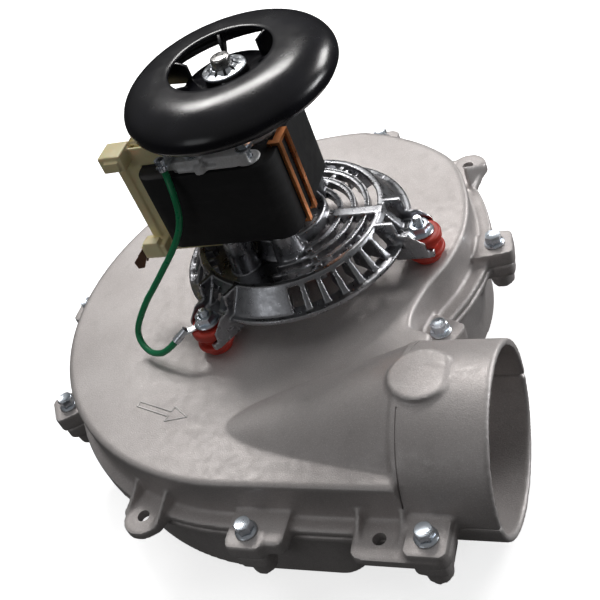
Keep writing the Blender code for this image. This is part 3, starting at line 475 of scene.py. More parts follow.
def bevelled(thing, width, segments=2, angle=30.0):
    modifier = thing.modifiers.new("bevel", "BEVEL")
    modifier.width = width
    modifier.segments = segments
    modifier.limit_method = "ANGLE"
    modifier.angle_limit = math.radians(angle)
    return settle(thing)


def block(name, x, y, z, turn=0.0):
    """Box between two values on each axis, turned about the motor axis."""
    centre = Vector([(low + high) / 2.0 for low, high in (x, y, z)])
    size = [high - low for low, high in (x, y, z)]
    bm = bmesh.new()
    matrix = (Matrix.Rotation(math.radians(turn), 4, "Z") @ Matrix.Translation(centre)
              @ Matrix.Diagonal((*size, 1.0)))
    bmesh.ops.create_cube(bm, size=1.0, matrix=matrix)
    return from_bmesh(name, bm)


def cone_between(name, start, end, radius, end_radius, sides):
    start, end = Vector(start), Vector(end)
    along = end - start
    bm = bmesh.new()
    matrix = Matrix.Translation((start + end) / 2.0) @ along.to_track_quat("Z", "Y").to_matrix().to_4x4()
    bmesh.ops.create_cone(bm, cap_ends=True, segments=sides, depth=along.length, radius1=radius,
                          radius2=end_radius, matrix=matrix)
    return from_bmesh(name, bm)


def rods(name, places, z, radius, sides=32, foot_radius=None):
    """Upright rods at several places, each wider at its foot if foot_radius says so."""
    bm = bmesh.new()
    for x, y in places:
        matrix = Matrix.Translation((x, y, (z[0] + z[1]) / 2.0))
        bmesh.ops.create_cone(bm, cap_ends=True, segments=sides, depth=z[1] - z[0],
                              radius1=foot_radius or radius, radius2=radius, matrix=matrix)
    return from_bmesh(name, bm)


def turned(name, profile, steps=64, at=(0.0, 0.0)):
    """A turned ring or solid from (radius, height) points; points on the axis close it."""
    bm = bmesh.new()
    rings = []
    for i in range(steps):
        a = 2.0 * math.pi * i / steps
        x, y = math.cos(a), math.sin(a)
        rings.append([None if r == 0.0 else bm.verts.new((at[0] + r * x, at[1] + r * y, z))
                      for r, z in profile])
    poles = [bm.verts.new((at[0], at[1], z)) if r == 0.0 else None for r, z in profile]
    count = len(profile)
    last = count - 1 if poles[0] or poles[-1] else count
    for i in range(steps):
        here, there = rings[i], rings[(i + 1) % steps]
        for j in range(last):
            k = (j + 1) % count
            if poles[j] and poles[k]:
                continue
            if poles[j]:
                bm.faces.new((poles[j], here[k], there[k]))
            elif poles[k]:
                bm.faces.new((here[j], poles[k], there[j]))
            else:
                bm.faces.new((here[j], here[k], there[k], there[j]))
    bmesh.ops.recalc_face_normals(bm, faces=bm.faces)
    return from_bmesh(name, bm)


def flat(name, outline, z):
    """A prism over an outline."""
    bm = bmesh.new()
    low = [bm.verts.new((x, y, z[0])) for x, y in outline]
    high = [bm.verts.new((x, y, z[1])) for x, y in outline]
    bm.faces.new(low)
    bm.faces.new(high)
    for i in range(len(outline)):
        j = (i + 1) % len(outline)
        bm.faces.new((low[i], low[j], high[j], high[i]))
    bmesh.ops.recalc_face_normals(bm, faces=bm.faces)
    return from_bmesh(name, bm)


def upright(name, outline, y, turn, foot=(0.0, 0.0)):
    """Plate over an outline in the axis's plane, between two distances from that plane, turned about foot."""
    plate = flat(name, outline, (-y[1], -y[0]))
    plate.data.transform(Matrix.Translation((*foot, 0.0)) @ Matrix.Rotation(math.radians(turn), 4, "Z")
                         @ Matrix.Rotation(math.radians(90.0), 4, "X"))
    return plate


def round_edges(thing, height, radius, segments=6):
    """Round the outline's edges at one height."""
    bm = bmesh.new()
    bm.from_mesh(thing.data)
    bm.normal_update()
    edges = [e for e in bm.edges
             if all(abs(v.co.z - height) < 0.01 for v in e.verts) and len(e.link_faces) == 2
             and abs(e.link_faces[0].normal.z - e.link_faces[1].normal.z) > 0.5]
    bmesh.ops.bevel(bm, geom=edges, offset=radius, segments=segments, profile=0.5, affect="EDGES",
                    clamp_overlap=True)
    bm.to_mesh(thing.data)
    bm.free()
    return thing


def arc(centre, radius, start, end, count):
    angles = [math.radians(start + (end - start) * i / (count - 1)) for i in range(count)]
    return [(centre[0] + radius * math.cos(a), centre[1] + radius * math.sin(a)) for a in angles]


def moved_outline(shape, x, y, direction):
    """An outline drawn along +X, turned to a direction and moved to a place."""
    turn = math.radians(direction)
    return [(x + p * math.cos(turn) - q * math.sin(turn), y + p * math.sin(turn) + q * math.cos(turn))
            for p, q in shape]


def spline_through(points, per_span):
    """Catmull-Rom points between the first and last of the given points."""
    before = 2 * Vector(points[0]) - Vector(points[1])
    after = 2 * Vector(points[-1]) - Vector(points[-2])
    knots = [before, *[Vector(p) for p in points], after]
    found = []
    for a, b, c, d in zip(knots, knots[1:], knots[2:], knots[3:]):
        for i in range(per_span):
            t = i / per_span
            found.append(0.5 * (2 * b + (c - a) * t + (2 * a - 5 * b + 4 * c - d) * t * t
                                + (3 * b - a - 3 * c + d) * t * t * t))
    found.append(knots[-2])
    return [tuple(p) for p in found]


# ---- ground wire
WIRE_RADIUS = 1.45
WIRE_ROUTE = (
    (-28.0, -28.3, 141.6), (-27.8, -28.9, 138.3), (-26.8, -31.8, 131.7), (-27.6, -33.4, 123.6),
    (-30.5, -34.8, 115.9), (-36.1, -37.0, 108.0), (-43.0, -40.0, 100.4), (-50.4, -43.2, 92.6),
    (-56.4, -45.2, 86.4), (-62.2, -47.6, 79.0), (-65.9, -48.9, 73.0), (-66.2, -50.8, 69.0),
    (-63.3, -54.0, 66.6), (-58.0, -57.2, 66.0), (-51.8, -58.8, 67.4), (-46.4, -58.8, 70.6),
    (-42.8, -58.0, 73.2))


def ground_wire():
    """The wire from the bearing bridge to a mount's nut, at its real length."""
    points = [spot(*p) for p in spline_through(WIRE_ROUTE, 4)]
    curve = bpy.data.curves.new("ground_wire", "CURVE")
    curve.dimensions = "3D"
    curve.bevel_depth = WIRE_RADIUS * MM
    curve.bevel_resolution = 6
    curve.use_fill_caps = True
    spline = curve.splines.new("POLY")
    spline.points.add(len(points) - 1)
    for point, at in zip(spline.points, points):
        point.co = (*at, 1.0)
    wire = place("wire_ground_green", curve)
    curve.materials.append(FINISHES["wire_insulation"])
    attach(wire, "housing")
    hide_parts("ground_wire")


ground_wire()


# ---- scroll housing
WALL = 3.0
PARTING_Z = 38.0
PARTING_GAP = 0.15  # each half stands back this much from the parting plane
PLATE_Z = 61.0
SHOULDER = 10.0
SCROLL_CENTRE = (-5.0, -10.5)
SCROLL_R = 112.5
RIGHT_SIDE = ((57.0, -42.0), (56.5, -32.0), (60.0, -18.0), (67.0, -2.0), (70.8, 18.0), (68.0, 42.0),
              (58.0, 67.0), (42.0, 83.0), (22.0, 95.0), (5.0, 101.5))
MOUTH_X = 66.0
MOUTH_Y = -46.0
LOWER_MOUTH_X = 40.0
LOWER_SHOULDER = 12.0
INNER_SHOULDER = 7.0
FLANGE_TURNS = (0.0, 50.0, 75.0, 217.0, 252.0, 360.0)
FLANGE_WIDTHS = (6.5, 6.5, 3.5, 3.5, 6.5, 6.5)
INLET_R = 33.0
SHAFT_HOLE_R = 7.0
COLLAR_R = 38.0
COLLAR_Y = -84.8
COLLAR_Z = 42.0
COLLAR_END_X = 99.9
SEAM_X = (66.3, 66.9)
SEAM_DEPTH = 0.45
FLAT_PAD_X = 73.5
FLAT_PAD_R = 12.6
FLAT_PAD_TOP = 80.6
BULGE_TIP = (-40.0, -98.0)
BULGE_TIP_R = 12.0
# Each screw's and ear's place, and the direction that its lug points in.
SCREWS = ((7.7, 113.0, 86.0), (80.0, 22.5, 10.0), (64.5, -31.5, -25.0), (76.1, -131.9, -90.0),
          (5.3, -133.2, -90.0), (-108.5, -70.3, 213.0), (-126.5, -5.5, 182.0), (-91.8, 79.0, 134.0))
SCREW_PLACES = [screw[:2] for screw in SCREWS]
EARS = ((57.5, 87.0, 73.0), (-45.6, -126.6, 250.0), (57.5, -131.4, 270.0))
EAR_FIN = ((-16.0, 35.0), (2.5, 35.0), (2.5, 43.0), (-1.0, 44.6), (-16.0, 55.0))
EAR_FIN_HALF = 1.1
LUG_TOP = 46.0
LUG_INWARD = 11.0
EAR_TOP = 42.5
EAR_R = 9.0
APART = 0.3  # solids that are joined keep their faces this far from one plane
ARM_ANGLES = (0.0, 120.0, 240.0)
MOUNT_R = 57.2
MOUNTS = [(MOUNT_R * math.cos(math.radians(a)), MOUNT_R * math.sin(math.radians(a))) for a in ARM_ANGLES]
CLEAR = 200.0  # past the housing on every side


def scroll_outline(grow, mouth_x=MOUTH_X):
    """The scroll wall in plan, moved outwards by grow, or by the flange's width."""
    front_y = COLLAR_Y - COLLAR_R
    corner = [(mouth_x, front_y)]
    if mouth_x == LOWER_MOUTH_X:
        corner = arc((mouth_x - LOWER_SHOULDER, front_y + LOWER_SHOULDER), LOWER_SHOULDER, -90.0, 0.0, 9)
    round_side = arc(SCROLL_CENTRE, SCROLL_R, 86.0, 270.0, 121)
    points = corner + [(mouth_x, MOUTH_Y)] + spline_through(RIGHT_SIDE, 8) + round_side[1:]
    moved = []
    for before, here, after in zip(points[-1:] + points[:-1], points, points[1:] + points[:1]):
        normals = []
        for a, b in ((before, here), (here, after)):
            run, rise = b[0] - a[0], b[1] - a[1]
            length = math.hypot(run, rise)
            normals.append(Vector((rise / length, -run / length)))
        middle = (normals[0] + normals[1]).normalized()
        distance = grow
        if grow is None:
            turn = math.degrees(math.atan2(middle.y, middle.x)) % 360.0
            distance = float(np.interp(turn, FLANGE_TURNS, FLANGE_WIDTHS))
        reach = distance / max(0.5, middle.dot(normals[0]))
        moved.append((here[0] + middle.x * reach, here[1] + middle.y * reach))
    return moved


def pad_outline(x, y, direction, inward, outward, half_width, corner=3.0):
    """Rectangle with round corners, from inward behind a place to outward before it."""
    corners = ((outward - corner, half_width - corner), (corner - inward, half_width - corner),
               (corner - inward, corner - half_width), (outward - corner, corner - half_width))
    shape = []
    for number, centre in enumerate(corners):
        shape += arc(centre, corner, 90.0 * number, 90.0 * number + 90.0, 6)
    return moved_outline(shape, x, y, direction)


def ear_outline(x, y, direction, inward):
    shape = arc((0.0, 0.0), EAR_R, -90.0, 90.0, 25) + [(-inward, EAR_R + 2.0), (-inward, -EAR_R - 2.0)]
    return moved_outline(shape, x, y, direction)


def collar_taper(name, shrink):
    """The cone that leads the scroll into the collar."""
    return cone_between(name, (MOUTH_X + 2.0, COLLAR_Y, COLLAR_Z), (*BULGE_TIP, COLLAR_Z), COLLAR_R - shrink,
                        BULGE_TIP_R - shrink, 96)


def lying_rod(name, x, radius):
    """Rod along the collar's centre line."""
    return cone_between(name, (x[0], COLLAR_Y, COLLAR_Z), (x[1], COLLAR_Y, COLLAR_Z), radius, radius, 112)


def scroll_half(name, z, flange_z, rounded_z, shoulder, mouth_x):
    """One half before it is hollowed: scroll, flange, collar and taper, past the parting plane."""
    body = round_edges(flat(name, scroll_outline(0.0, mouth_x), z), rounded_z, shoulder)
    return join(body, flat(name + "_flange", scroll_outline(None), flange_z),
                lying_rod(name + "_collar", (mouth_x - 2.0, COLLAR_END_X), COLLAR_R),
                collar_taper(name + "_taper", 0.0))


def hollow(body, name, z, rounded_z, mouth_x):
    cavity = round_edges(flat(name + "_cavity", scroll_outline(-WALL, mouth_x), z), rounded_z, INNER_SHOULDER)
    bore_from = mouth_x - 1.0
    if mouth_x < MOUTH_X:
        bore_from -= WALL
    return cut(body, cavity, lying_rod(name + "_bore", (bore_from, COLLAR_END_X + 5.0), COLLAR_R - WALL),
               collar_taper(name + "_taper_bore", WALL))


def lugs_and_ears():
    """The pads round the upper half's rim, with a fin up each side of each ear."""
    found = [flat(f"lug_{number}", pad_outline(*screw, inward=LUG_INWARD, outward=8.0, half_width=8.0),
                  (28.0 - APART * number, LUG_TOP)) for number, screw in enumerate(SCREWS, 1)]
    wide_lug = pad_outline(12.0, -131.5, -90.0, inward=LUG_INWARD, outward=7.0, half_width=9.0)
    wide_ear = pad_outline(66.0, -131.4, -90.0, inward=LUG_INWARD, outward=EAR_R, half_width=19.0, corner=5.0)
    found += [flat("wide_lug", wide_lug, (27.0, LUG_TOP - 0.4)), flat("wide_ear", wide_ear, (30.5, EAR_TOP))]
    for number, ear in enumerate(EARS[:2], 1):
        found.append(flat(f"ear_{number}", ear_outline(*ear, inward=13.0), (32.0 - APART * number, EAR_TOP)))
    for x, y, direction in EARS:
        for across in (0.5 - EAR_R, EAR_R - 0.5):
            sides = (across - EAR_FIN_HALF, across + EAR_FIN_HALF)
            found.append(upright("ear_fin", EAR_FIN, sides, direction, (x, y)))
    return found


def collar_seam():
    """A shallow groove round the collar's foot, which stops at the flat pad."""
    reach = FLAT_PAD_R + 0.9
    return cut(lying_rod("collar_seam", SEAM_X, COLLAR_R + 1.0),
               lying_rod("seam_core", (65.0, 68.0), COLLAR_R - SEAM_DEPTH),
               block("pad_space", (60.0, 75.0), (COLLAR_Y - reach, COLLAR_Y + reach), (70.0, 90.0)))


def upper_housing():
    body = scroll_half("scroll_upper", (30.0, PLATE_Z), (29.0, 42.0), PLATE_Z, SHOULDER, MOUTH_X)
    d_shape = arc((FLAT_PAD_X, COLLAR_Y), FLAT_PAD_R, 40.0, 320.0, 49)
    join(body, *lugs_and_ears(), flat("flat_pad", d_shape, (70.0, FLAT_PAD_TOP)))
    cut(body, block("trim", (-CLEAR, CLEAR), (-CLEAR, CLEAR), (0.0, PARTING_Z + PARTING_GAP)))
    hollow(body, "upper", (20.0, PLATE_Z - WALL), PLATE_Z - WALL, MOUTH_X)
    join(body, rods("stud_bosses", MOUNTS, (55.0, PLATE_Z - 1.0), 6.0))
    soften(body, 0.9, 3)
    cut(body, collar_seam())
    cut(body, rods("screw_holes", SCREW_PLACES, (10.0, 70.0), 2.5, 24),
        rods("ear_holes", [ear[:2] for ear in EARS], (10.0, 70.0), 2.7),
        rods("stud_holes", MOUNTS, (56.5, 70.0), 2.4, 24),
        rods("shaft_hole", [(0.0, 0.0)], (50.0, 70.0), SHAFT_HOLE_R, 48))
    finish_piece(body, "cast_housing", ["upper_housing"])


def lower_housing():
    body = scroll_half("scroll_lower", (0.0, 50.0), (34.0, 51.0), 0.0, LOWER_SHOULDER, LOWER_MOUTH_X)
    lugs = [flat(f"low_lug_{number}", pad_outline(*screw, inward=LUG_INWARD, outward=7.0, half_width=7.0),
                 (31.0, 52.0 + APART * number)) for number, screw in enumerate(SCREWS, 1)]
    join(body, *lugs, rods("screw_bosses", SCREW_PLACES, (23.0, 45.0), 6.8, 32, 5.2))
    cut(body, block("trim", (-CLEAR, CLEAR), (-CLEAR, CLEAR), (PARTING_Z - PARTING_GAP, 120.0)))
    hollow(body, "lower", (WALL, 60.0), WALL, LOWER_MOUTH_X)
    soften(body, 1.0, 3)
    cut(body, rods("screw_holes", SCREW_PLACES, (25.0, 60.0), 2.5, 24),
        rods("inlet", [(0.0, 0.0)], (-5.0, 10.0), INLET_R, 96))
    finish_piece(body, "cast_housing", ["lower_housing"])


def arrow():
    """Raised outline of the arrow that shows which way the wheel turns."""
    start, neck, tip = Vector((-57.2, -82.6)), Vector((-38.2, -88.6)), Vector((-30.6, -89.7))
    along = (neck - start).normalized()
    across = Vector((-along.y, along.x))
    neck -= along * 1.5
    half_width, half_head = across * 1.3, across * 4.0
    corners = [start + half_width, neck + half_width, neck + half_head, tip, neck - half_head,
               neck - half_width, start - half_width]
    level = PLATE_Z - 0.05
    lines = [cone_between("arrow_line", (*a, level), (*b, level), 0.42, 0.42, 12)
             for a, b in zip(corners, corners[1:] + corners[:1])]
    outline = join(lines[0], *lines[1:])
    outline.name = "rotation_arrow"
    finish_piece(outline, "cast_housing")


upper_housing()
lower_housing()
arrow()


# ---- fasteners
THREAD_PITCH = 0.7
HEX_CREASE = 32.0
NUT_SEAT_Z = 75.2
RUBBER = ([(2.5, NUT_SEAT_Z), (6.6, NUT_SEAT_Z)] + arc((7.3, 74.1), 1.1, 90.0, 0.0, 6)
          + arc((7.3, 72.2), 1.1, 0.0, -90.0, 6) + [(6.2, 71.1), (5.6, 70.9), (5.6, 67.5), (6.2, 67.3)]
          + arc((7.2, 66.1), 1.2, 90.0, 0.0, 6) + arc((7.2, 65.6), 1.2, 0.0, -90.0, 6)
          + [(6.5, 64.3), (6.3, 62.2), (6.0, 61.5), (5.6, 61.3), (2.5, 61.3)])


def raised(profile, z):
    """A profile drawn from height nought, lifted to z."""
    return [(r, z + height) for r, height in profile]


def hexagon(name, at, z, radius, turn, dish=0.0):
    """Hexagon with its corners taken off by a cone, and a slight dish in its top."""
    head = flat(name, arc(at, radius, turn, turn + 300.0, 6), z)
    low, high = z
    cone = [(0.0, high - dish), (0.62 * radius, high - 0.4 * dish), (0.84 * radius, high),
            (0.9 * radius, high - 0.1), (1.04 * radius, high - 0.55), (1.04 * radius, low - 0.2),
            (0.0, low - 0.2)]
    return combine(head, "INTERSECT", [turned(name + "_cone", cone, 48, at)])


def threaded(name, at, z, radius):
    """Rod with rolled thread ridges and a chamfered top."""
    low, high = z
    profile = [(0.0, high), (radius - 0.6, high), (radius - 0.25, high - 0.35)]
    level = high - 0.6
    while level > low + THREAD_PITCH:
        profile += [(radius, level), (radius, level - 0.15), (radius - 0.28, level - 0.5 * THREAD_PITCH)]
        level -= THREAD_PITCH
    profile += [(radius, low), (0.0, low)]
    return turned(name, profile, 32, at)


def housing_screws():
    """Hex heads with their washers on the lugs, each turned a little more than the last."""
    z = LUG_TOP + GAP
    washer = raised([(0.0, 1.2), (3.2, 1.1), (4.3, 0.75), (4.6, 0.4), (4.55, 0.0), (2.1, 0.0)], z)
    shank = [(2.1, 26.6), (1.2, 26.0), (0.0, 26.0)]
    for number, (x, y, direction) in enumerate(SCREWS, 1):
        screw = turned(f"hex_screw_{number}", washer + shank, 48, (x, y))
        join(screw, hexagon("screw_hex", (x, y), (z + 0.6, z + 5.0), 3.75, direction + 11.0 * number, 0.5))
        finish_piece(screw, "zinc", [f"housing_screw_{number}"], HEX_CREASE)


def flange_nut(number, at, turn, lift):
    z = NUT_SEAT_Z + GAP + lift
    flange = [(2.3, 1.1), (4.6, 1.1), (5.5, 0.8), (5.8, 0.35), (5.7, 0.0), (2.3, 0.0)]
    bore = [(0.0, -1.0), (2.3, -1.0), (2.3, 3.6), (3.0, 5.0), (0.0, 5.0)]
    nut = turned(f"flange_nut_{number}", raised(flange, z), 64, at)
    body = hexagon("nut_hex", at, (z + 0.5, 79.8 + lift), 4.6, turn)
    join(nut, cut(body, turned("nut_bore", raised(bore, z), 32, at)))
    finish_piece(nut, "zinc", [f"mount_nut_{number}"], HEX_CREASE)


def motor_mounts():
    """Rubber, stud and nut at each arm. The third nut stands on the wire's ring terminal."""
    for number, (at, angle) in enumerate(zip(MOUNTS, ARM_ANGLES), 1):
        rubber = turned(f"rubber_grommet_{number}", RUBBER, 72, at)
        finish_piece(rubber, "silicone", [f"rubber_mount_{number}"])
        stud = threaded(f"threaded_stud_{number}", at, (57.0, 83.5), 2.0)
        finish_piece(stud, "zinc", [f"mount_stud_{number}"], HEX_CREASE)
        flange_nut(number, at, angle + 12.0, 1.1 if number == 3 else 0.0)


housing_screws()
motor_mounts()


# ---- motor bracket
FIRST_SLOT = 15.1
SLOT_PITCH = 9.6
SLOTS_PER_SIDE = 7
# Turn from the arm and half width of each slot inside an arm's walls.
ARM_SLOTS = ((-3.4, 3.1), (8.6, 2.3))
RING = ([(42.6, 88.2)] + arc((42.4, 87.6), 0.6, 70.0, 0.0, 4) + [(49.9, 77.3), (52.1, 77.2)]
        + arc((52.1, 76.7), 0.5, 90.0, 0.0, 4)
        + [(52.6, 75.3), (52.2, 75.0), (46.8, 75.0), (40.4, 84.6), (40.2, 88.2)])
FIN_TRIM = ((42.2, 88.4), (49.2, 77.4), (49.2, 70.0), (60.0, 70.0), (60.0, 90.0), (42.2, 90.0))
RIB_RADII = (22.2, 28.2, 34.2)
RIB = ((-0.2, 83.6), (2.8, 83.6), (2.6, 88.0), (1.9, 88.1), (1.3, 87.5), (0.5, 87.5), (0.0, 87.7))
POCKET_TURNS = (170.0, 274.0)
WEB_TURNS = (66.0, 126.0, 186.0, 306.0)
HUB = ((9.3, 80.0), (21.0, 80.0), (19.0, 84.0), (18.2, 91.4), (17.6, 92.0), (9.3, 92.0))
BEARING_SEAT_R = 9.3
ARM_WALL = ((42.0, 88.0), (49.4, 88.0), (50.4, 80.9), (55.5, 80.4), (60.6, 75.6), (61.4, 67.8), (47.0, 67.8),
            (45.0, 80.0))
ARM_WALL_SIDES = ((7.3, 9.3), (-9.3, -7.3))
BOLTS = ((6.0, -20.8), (-17.0, -20.8), (6.0, 20.8), (-17.0, 20.8))
BOLT_HOLE_R = 2.3
STACK_Z = (99.6, 137.2)


def sector(name, radii, turns, z):
    """Part of a flat ring, between two angles."""
    centre = (0.0, 0.0)
    return flat(name, arc(centre, radii[1], *turns, 49) + arc(centre, radii[0], *turns[::-1], 49), z)


def bracket_arm(number):
    """Floor with an open seat for the rubber, between two walls."""
    angle, seat = ARM_ANGLES[number], [MOUNTS[number]]
    plate = block("arm_plate", (44.0, 63.2), (-8.7, 8.7), (67.7, 70.8), angle)
    cut(plate, rods("arm_seat", seat, (60.0, 80.0), 6.0, 48),
        block("arm_mouth", (MOUNT_R, 70.0), (-6.0, 6.0), (60.0, 80.0), angle))
    walls = [upright("arm_wall", ARM_WALL, side, angle) for side in ARM_WALL_SIDES]
    join(*walls, block("arm_step", (44.0, 49.0), (-8.0, 8.0), (67.8, 72.5), angle))
    return join(plate, cut(walls[0], rods("rubber_clearance", seat, (60.0, 95.0), 8.75, 64)))


def slotted_ring():
    """The sloping rim, with slots between its bars and a thin fin behind each bar."""
    body = turned("motor_bracket_casting", RING, 168)
    fins = []
    for arm_angle in ARM_ANGLES:
        first = arm_angle - FIRST_SLOT
        for number in range(SLOTS_PER_SIDE):
            turn = first - SLOT_PITCH * number
            cut(body, block("ring_slot", (37.5, 54.5), (-2.65, 2.65), (77.1, 86.3), turn))
        for turn, half in ARM_SLOTS:
            cut(body, block("arm_slot", (40.0, 54.0), (-half, half), (76.5, 85.5), arm_angle + turn))
        for number in range(SLOTS_PER_SIDE - 1):
            turn = first - SLOT_PITCH * (number + 0.5)
            fins.append(block("fin", (37.3, 45.9), (-1.0, 1.0), (76.2, 85.8), turn))
    return join(body, cut(join(*fins), turned("fin_trim", FIN_TRIM, 96)))


def ribs():
    """Round ribs inside the ring, left out over the pocket."""
    rings = [turned("rib", [(radius + r, z) for r, z in RIB], 120) for radius in RIB_RADII]
    return cut(join(*rings), sector("rib_gap", (15.0, 39.9), POCKET_TURNS, (80.0, 95.0)))


def motor_bracket():
    body = slotted_ring()
    start, end = POCKET_TURNS
    floor_plate = sector("pocket_floor", (17.0, 43.8), (start - 2.0, end + 2.0), (78.5, 81.5))
    webs = [block("web", (17.75, 41.25), (-1.3, 1.3), (82.2, 87.0), turn) for turn in WEB_TURNS]
    bar = block("radial_bar", (16.0, 42.5), (-0.9, 4.3), (83.6, 88.5))
    posts = [rods("post", [at], (79.0 if max(at) < 0.0 else 84.0, STACK_Z[0] - GAP), 5.2, 40, 6.8)
             for at in BOLTS]
    arms = [bracket_arm(number) for number in range(len(ARM_ANGLES))]
    join(body, floor_plate, ribs(), bar, turned("hub", HUB, 72), *webs, *posts, *arms)
    cut(body, rods("bearing_seat", [(0.0, 0.0)], (70.0, 110.0), BEARING_SEAT_R, 48),
        rods("post_holes", BOLTS, (86.0, 110.0), BOLT_HOLE_R, 24))
    soften(body, 0.5, 2, 0.6)
    finish_piece(body, "bracket_casting", ["motor_bracket"], 50.0)


motor_bracket()


# ---- motor
STACK_X = (-46.0, 16.3)
STACK_HALF_Y = 26.8
STACK_CORNER_R = 8.0
STACK_EDGE_R = 0.45
WINDOW_X = -23.0
WINDOW_HALF_Y = 17.0
BORE_R = 13.4
# The slots beside the bore that the shading loops pass through, and their half width.
LOOP_SLOTS = (((12.0, 14.0), -13.0), ((13.5, 15.5), -4.6), ((-14.0, -12.0), 13.0), ((-15.5, -13.5), 4.6))
LOOP_SLOT_HALF = 1.6
# Each loop's outer face, its inner face, its two uprights' y, and the CAD nodes it stands for.
SHADING_LOOPS = ((STACK_X[1], 12.2, -13.0, -4.6, ("shading_coil_1", "shading_coil_2")),
                 (WINDOW_X, -12.2, 13.0, 4.6, ("shading_coil_3", "shading_coil_4")))
STRIP = 1.3  # the copper's thickness, and half its width
BAR_X = (-46.0, -35.0)
FLANGE_Y = (15.1, 16.6)
BOLT_SEAT_Z = 143.3
BRIDGE_TOP = 142.9


def stator_stack():
    left, right = STACK_X
    r, h = STACK_CORNER_R, STACK_HALF_Y
    outline = (arc((right - r, h - r), r, 0.0, 90.0, 17) + arc((left + r, h - r), r, 90.0, 180.0, 17)
               + [(left, WINDOW_HALF_Y), (WINDOW_X, WINDOW_HALF_Y), (WINDOW_X, -WINDOW_HALF_Y),
                  (left, -WINDOW_HALF_Y)]
               + arc((left + r, r - h), r, 180.0, 270.0, 17) + arc((right - r, r - h), r, 270.0, 360.0, 17))
    body = flat("stator_laminations", outline, STACK_Z)
    for height in reversed(STACK_Z):
        round_edges(body, height, STACK_EDGE_R, 2)
    past_stack = (90.0, 145.0)
    cut(body, rods("bore", [(0.0, 0.0)], past_stack, BORE_R, 96),
        rods("stack_holes", BOLTS, past_stack, BOLT_HOLE_R, 24))
    for x, y in LOOP_SLOTS:
        cut(body, block("slot", x, (y - LOOP_SLOT_HALF, y + LOOP_SLOT_HALF), past_stack))
    finish_piece(body, "laminations", ["stator_stack"], 35.0)
    bar = bevelled(block("lamination_bar", BAR_X, (-16.7, 16.7), STACK_Z), 0.4)
    finish_piece(bar, "laminations", ["core_bar"], 35.0)


def shading_coils():
    """A copper band on each side of the stack: two uprights and their joined ends, above and below."""
    low, high = STACK_Z[0] - 1.6, STACK_Z[1] + 1.6
    over, under = (high - STRIP, high), (low, low + STRIP)
    for number, (wall, inside, far_y, near_y, nodes) in enumerate(SHADING_LOOPS, 1):
        side = math.copysign(1.0, wall)
        face = wall + side * GAP
        outside = face + side * STRIP
        strips = []
        for y, inset in ((far_y, 0.2), (near_y, 1.6)):
            across = (y - STRIP, y + STRIP)
            back = inside + side * inset
            strips.append(block("upright", sorted((face, outside)), across, (low, high)))
            strips.append(block("inner_upright", sorted((back, back + side * 1.2)), across, (low, high)))
            strips.append(block("over", sorted((back, outside)), across, over))
            strips.append(block("under", sorted((back, outside)), across, under))
        strips.append(block("link", sorted((face - side * 2.4, outside)), sorted((far_y, near_y)), over))
        coil = join(strips[0], *strips[1:])
        coil.name = f"shading_loop_{number}"
        finish_piece(bevelled(coil, 0.4, 3), "copper", nodes)


def coil_and_bobbin():
    """Bobbin tube round the core bar with a flange at each end, its clips, and the taped winding."""
    tube_x, tube_z = (BAR_X[0] - GAP, BAR_X[1] + GAP), (STACK_Z[0] - GAP, STACK_Z[1] + GAP)
    wall, end = 1.2, FLANGE_Y[1]
    bobbin = block("bobbin_moulding", (tube_x[0] - wall, tube_x[1] + wall), (-end, end),
                   (tube_z[0] - wall, tube_z[1] + wall))
    for y in (sorted((-end, -FLANGE_Y[0])), FLANGE_Y):
        join(bobbin, block("flange", (-57.8, -25.1), y, (90.3, 146.5)))
    join(bobbin, block("clip", (-59.8, -49.0), (-23.6, -12.4), (140.3, 148.2)),
         block("clip_step", (-57.0, -50.5), (-25.0, -20.0), (141.5, 146.0)),
         block("foot", (-62.2, -50.0), (-23.8, -15.4), (92.2, 99.3)),
         block("foot_step", (-60.4, -52.5), (-24.6, -20.0), (94.0, 101.5)),
         block("spine", (-57.6, -53.2), (-17.8, -14.9), (96.0, 143.0)))
    cut(bobbin, block("bar_space", tube_x, (-40.0, 40.0), tube_z))
    join(bobbin, rods("stub", [(-55.2, -20.5)], (144.0, 148.4), 2.6, 32, 3.2))
    soften(bobbin, 0.5, 7, 0.5)
    finish_piece(bobbin, "nylon", ["coil_bobbin"], 50.0)
    coil = bevelled(block("taped_coil", (-55.0, -26.0), (-14.7, 14.7), (91.6, 145.2)), 4.5, 6, 60.0)
    cut(coil, block("coil_space", (-47.9, -33.1), (-40.0, 40.0), (97.8, 139.0)),
        block("coil_notch", (-70.0, -48.0), (-24.5, -11.5), (138.0, 160.0)))
    finish_piece(coil, "coil_tape", ["coil_winding"])


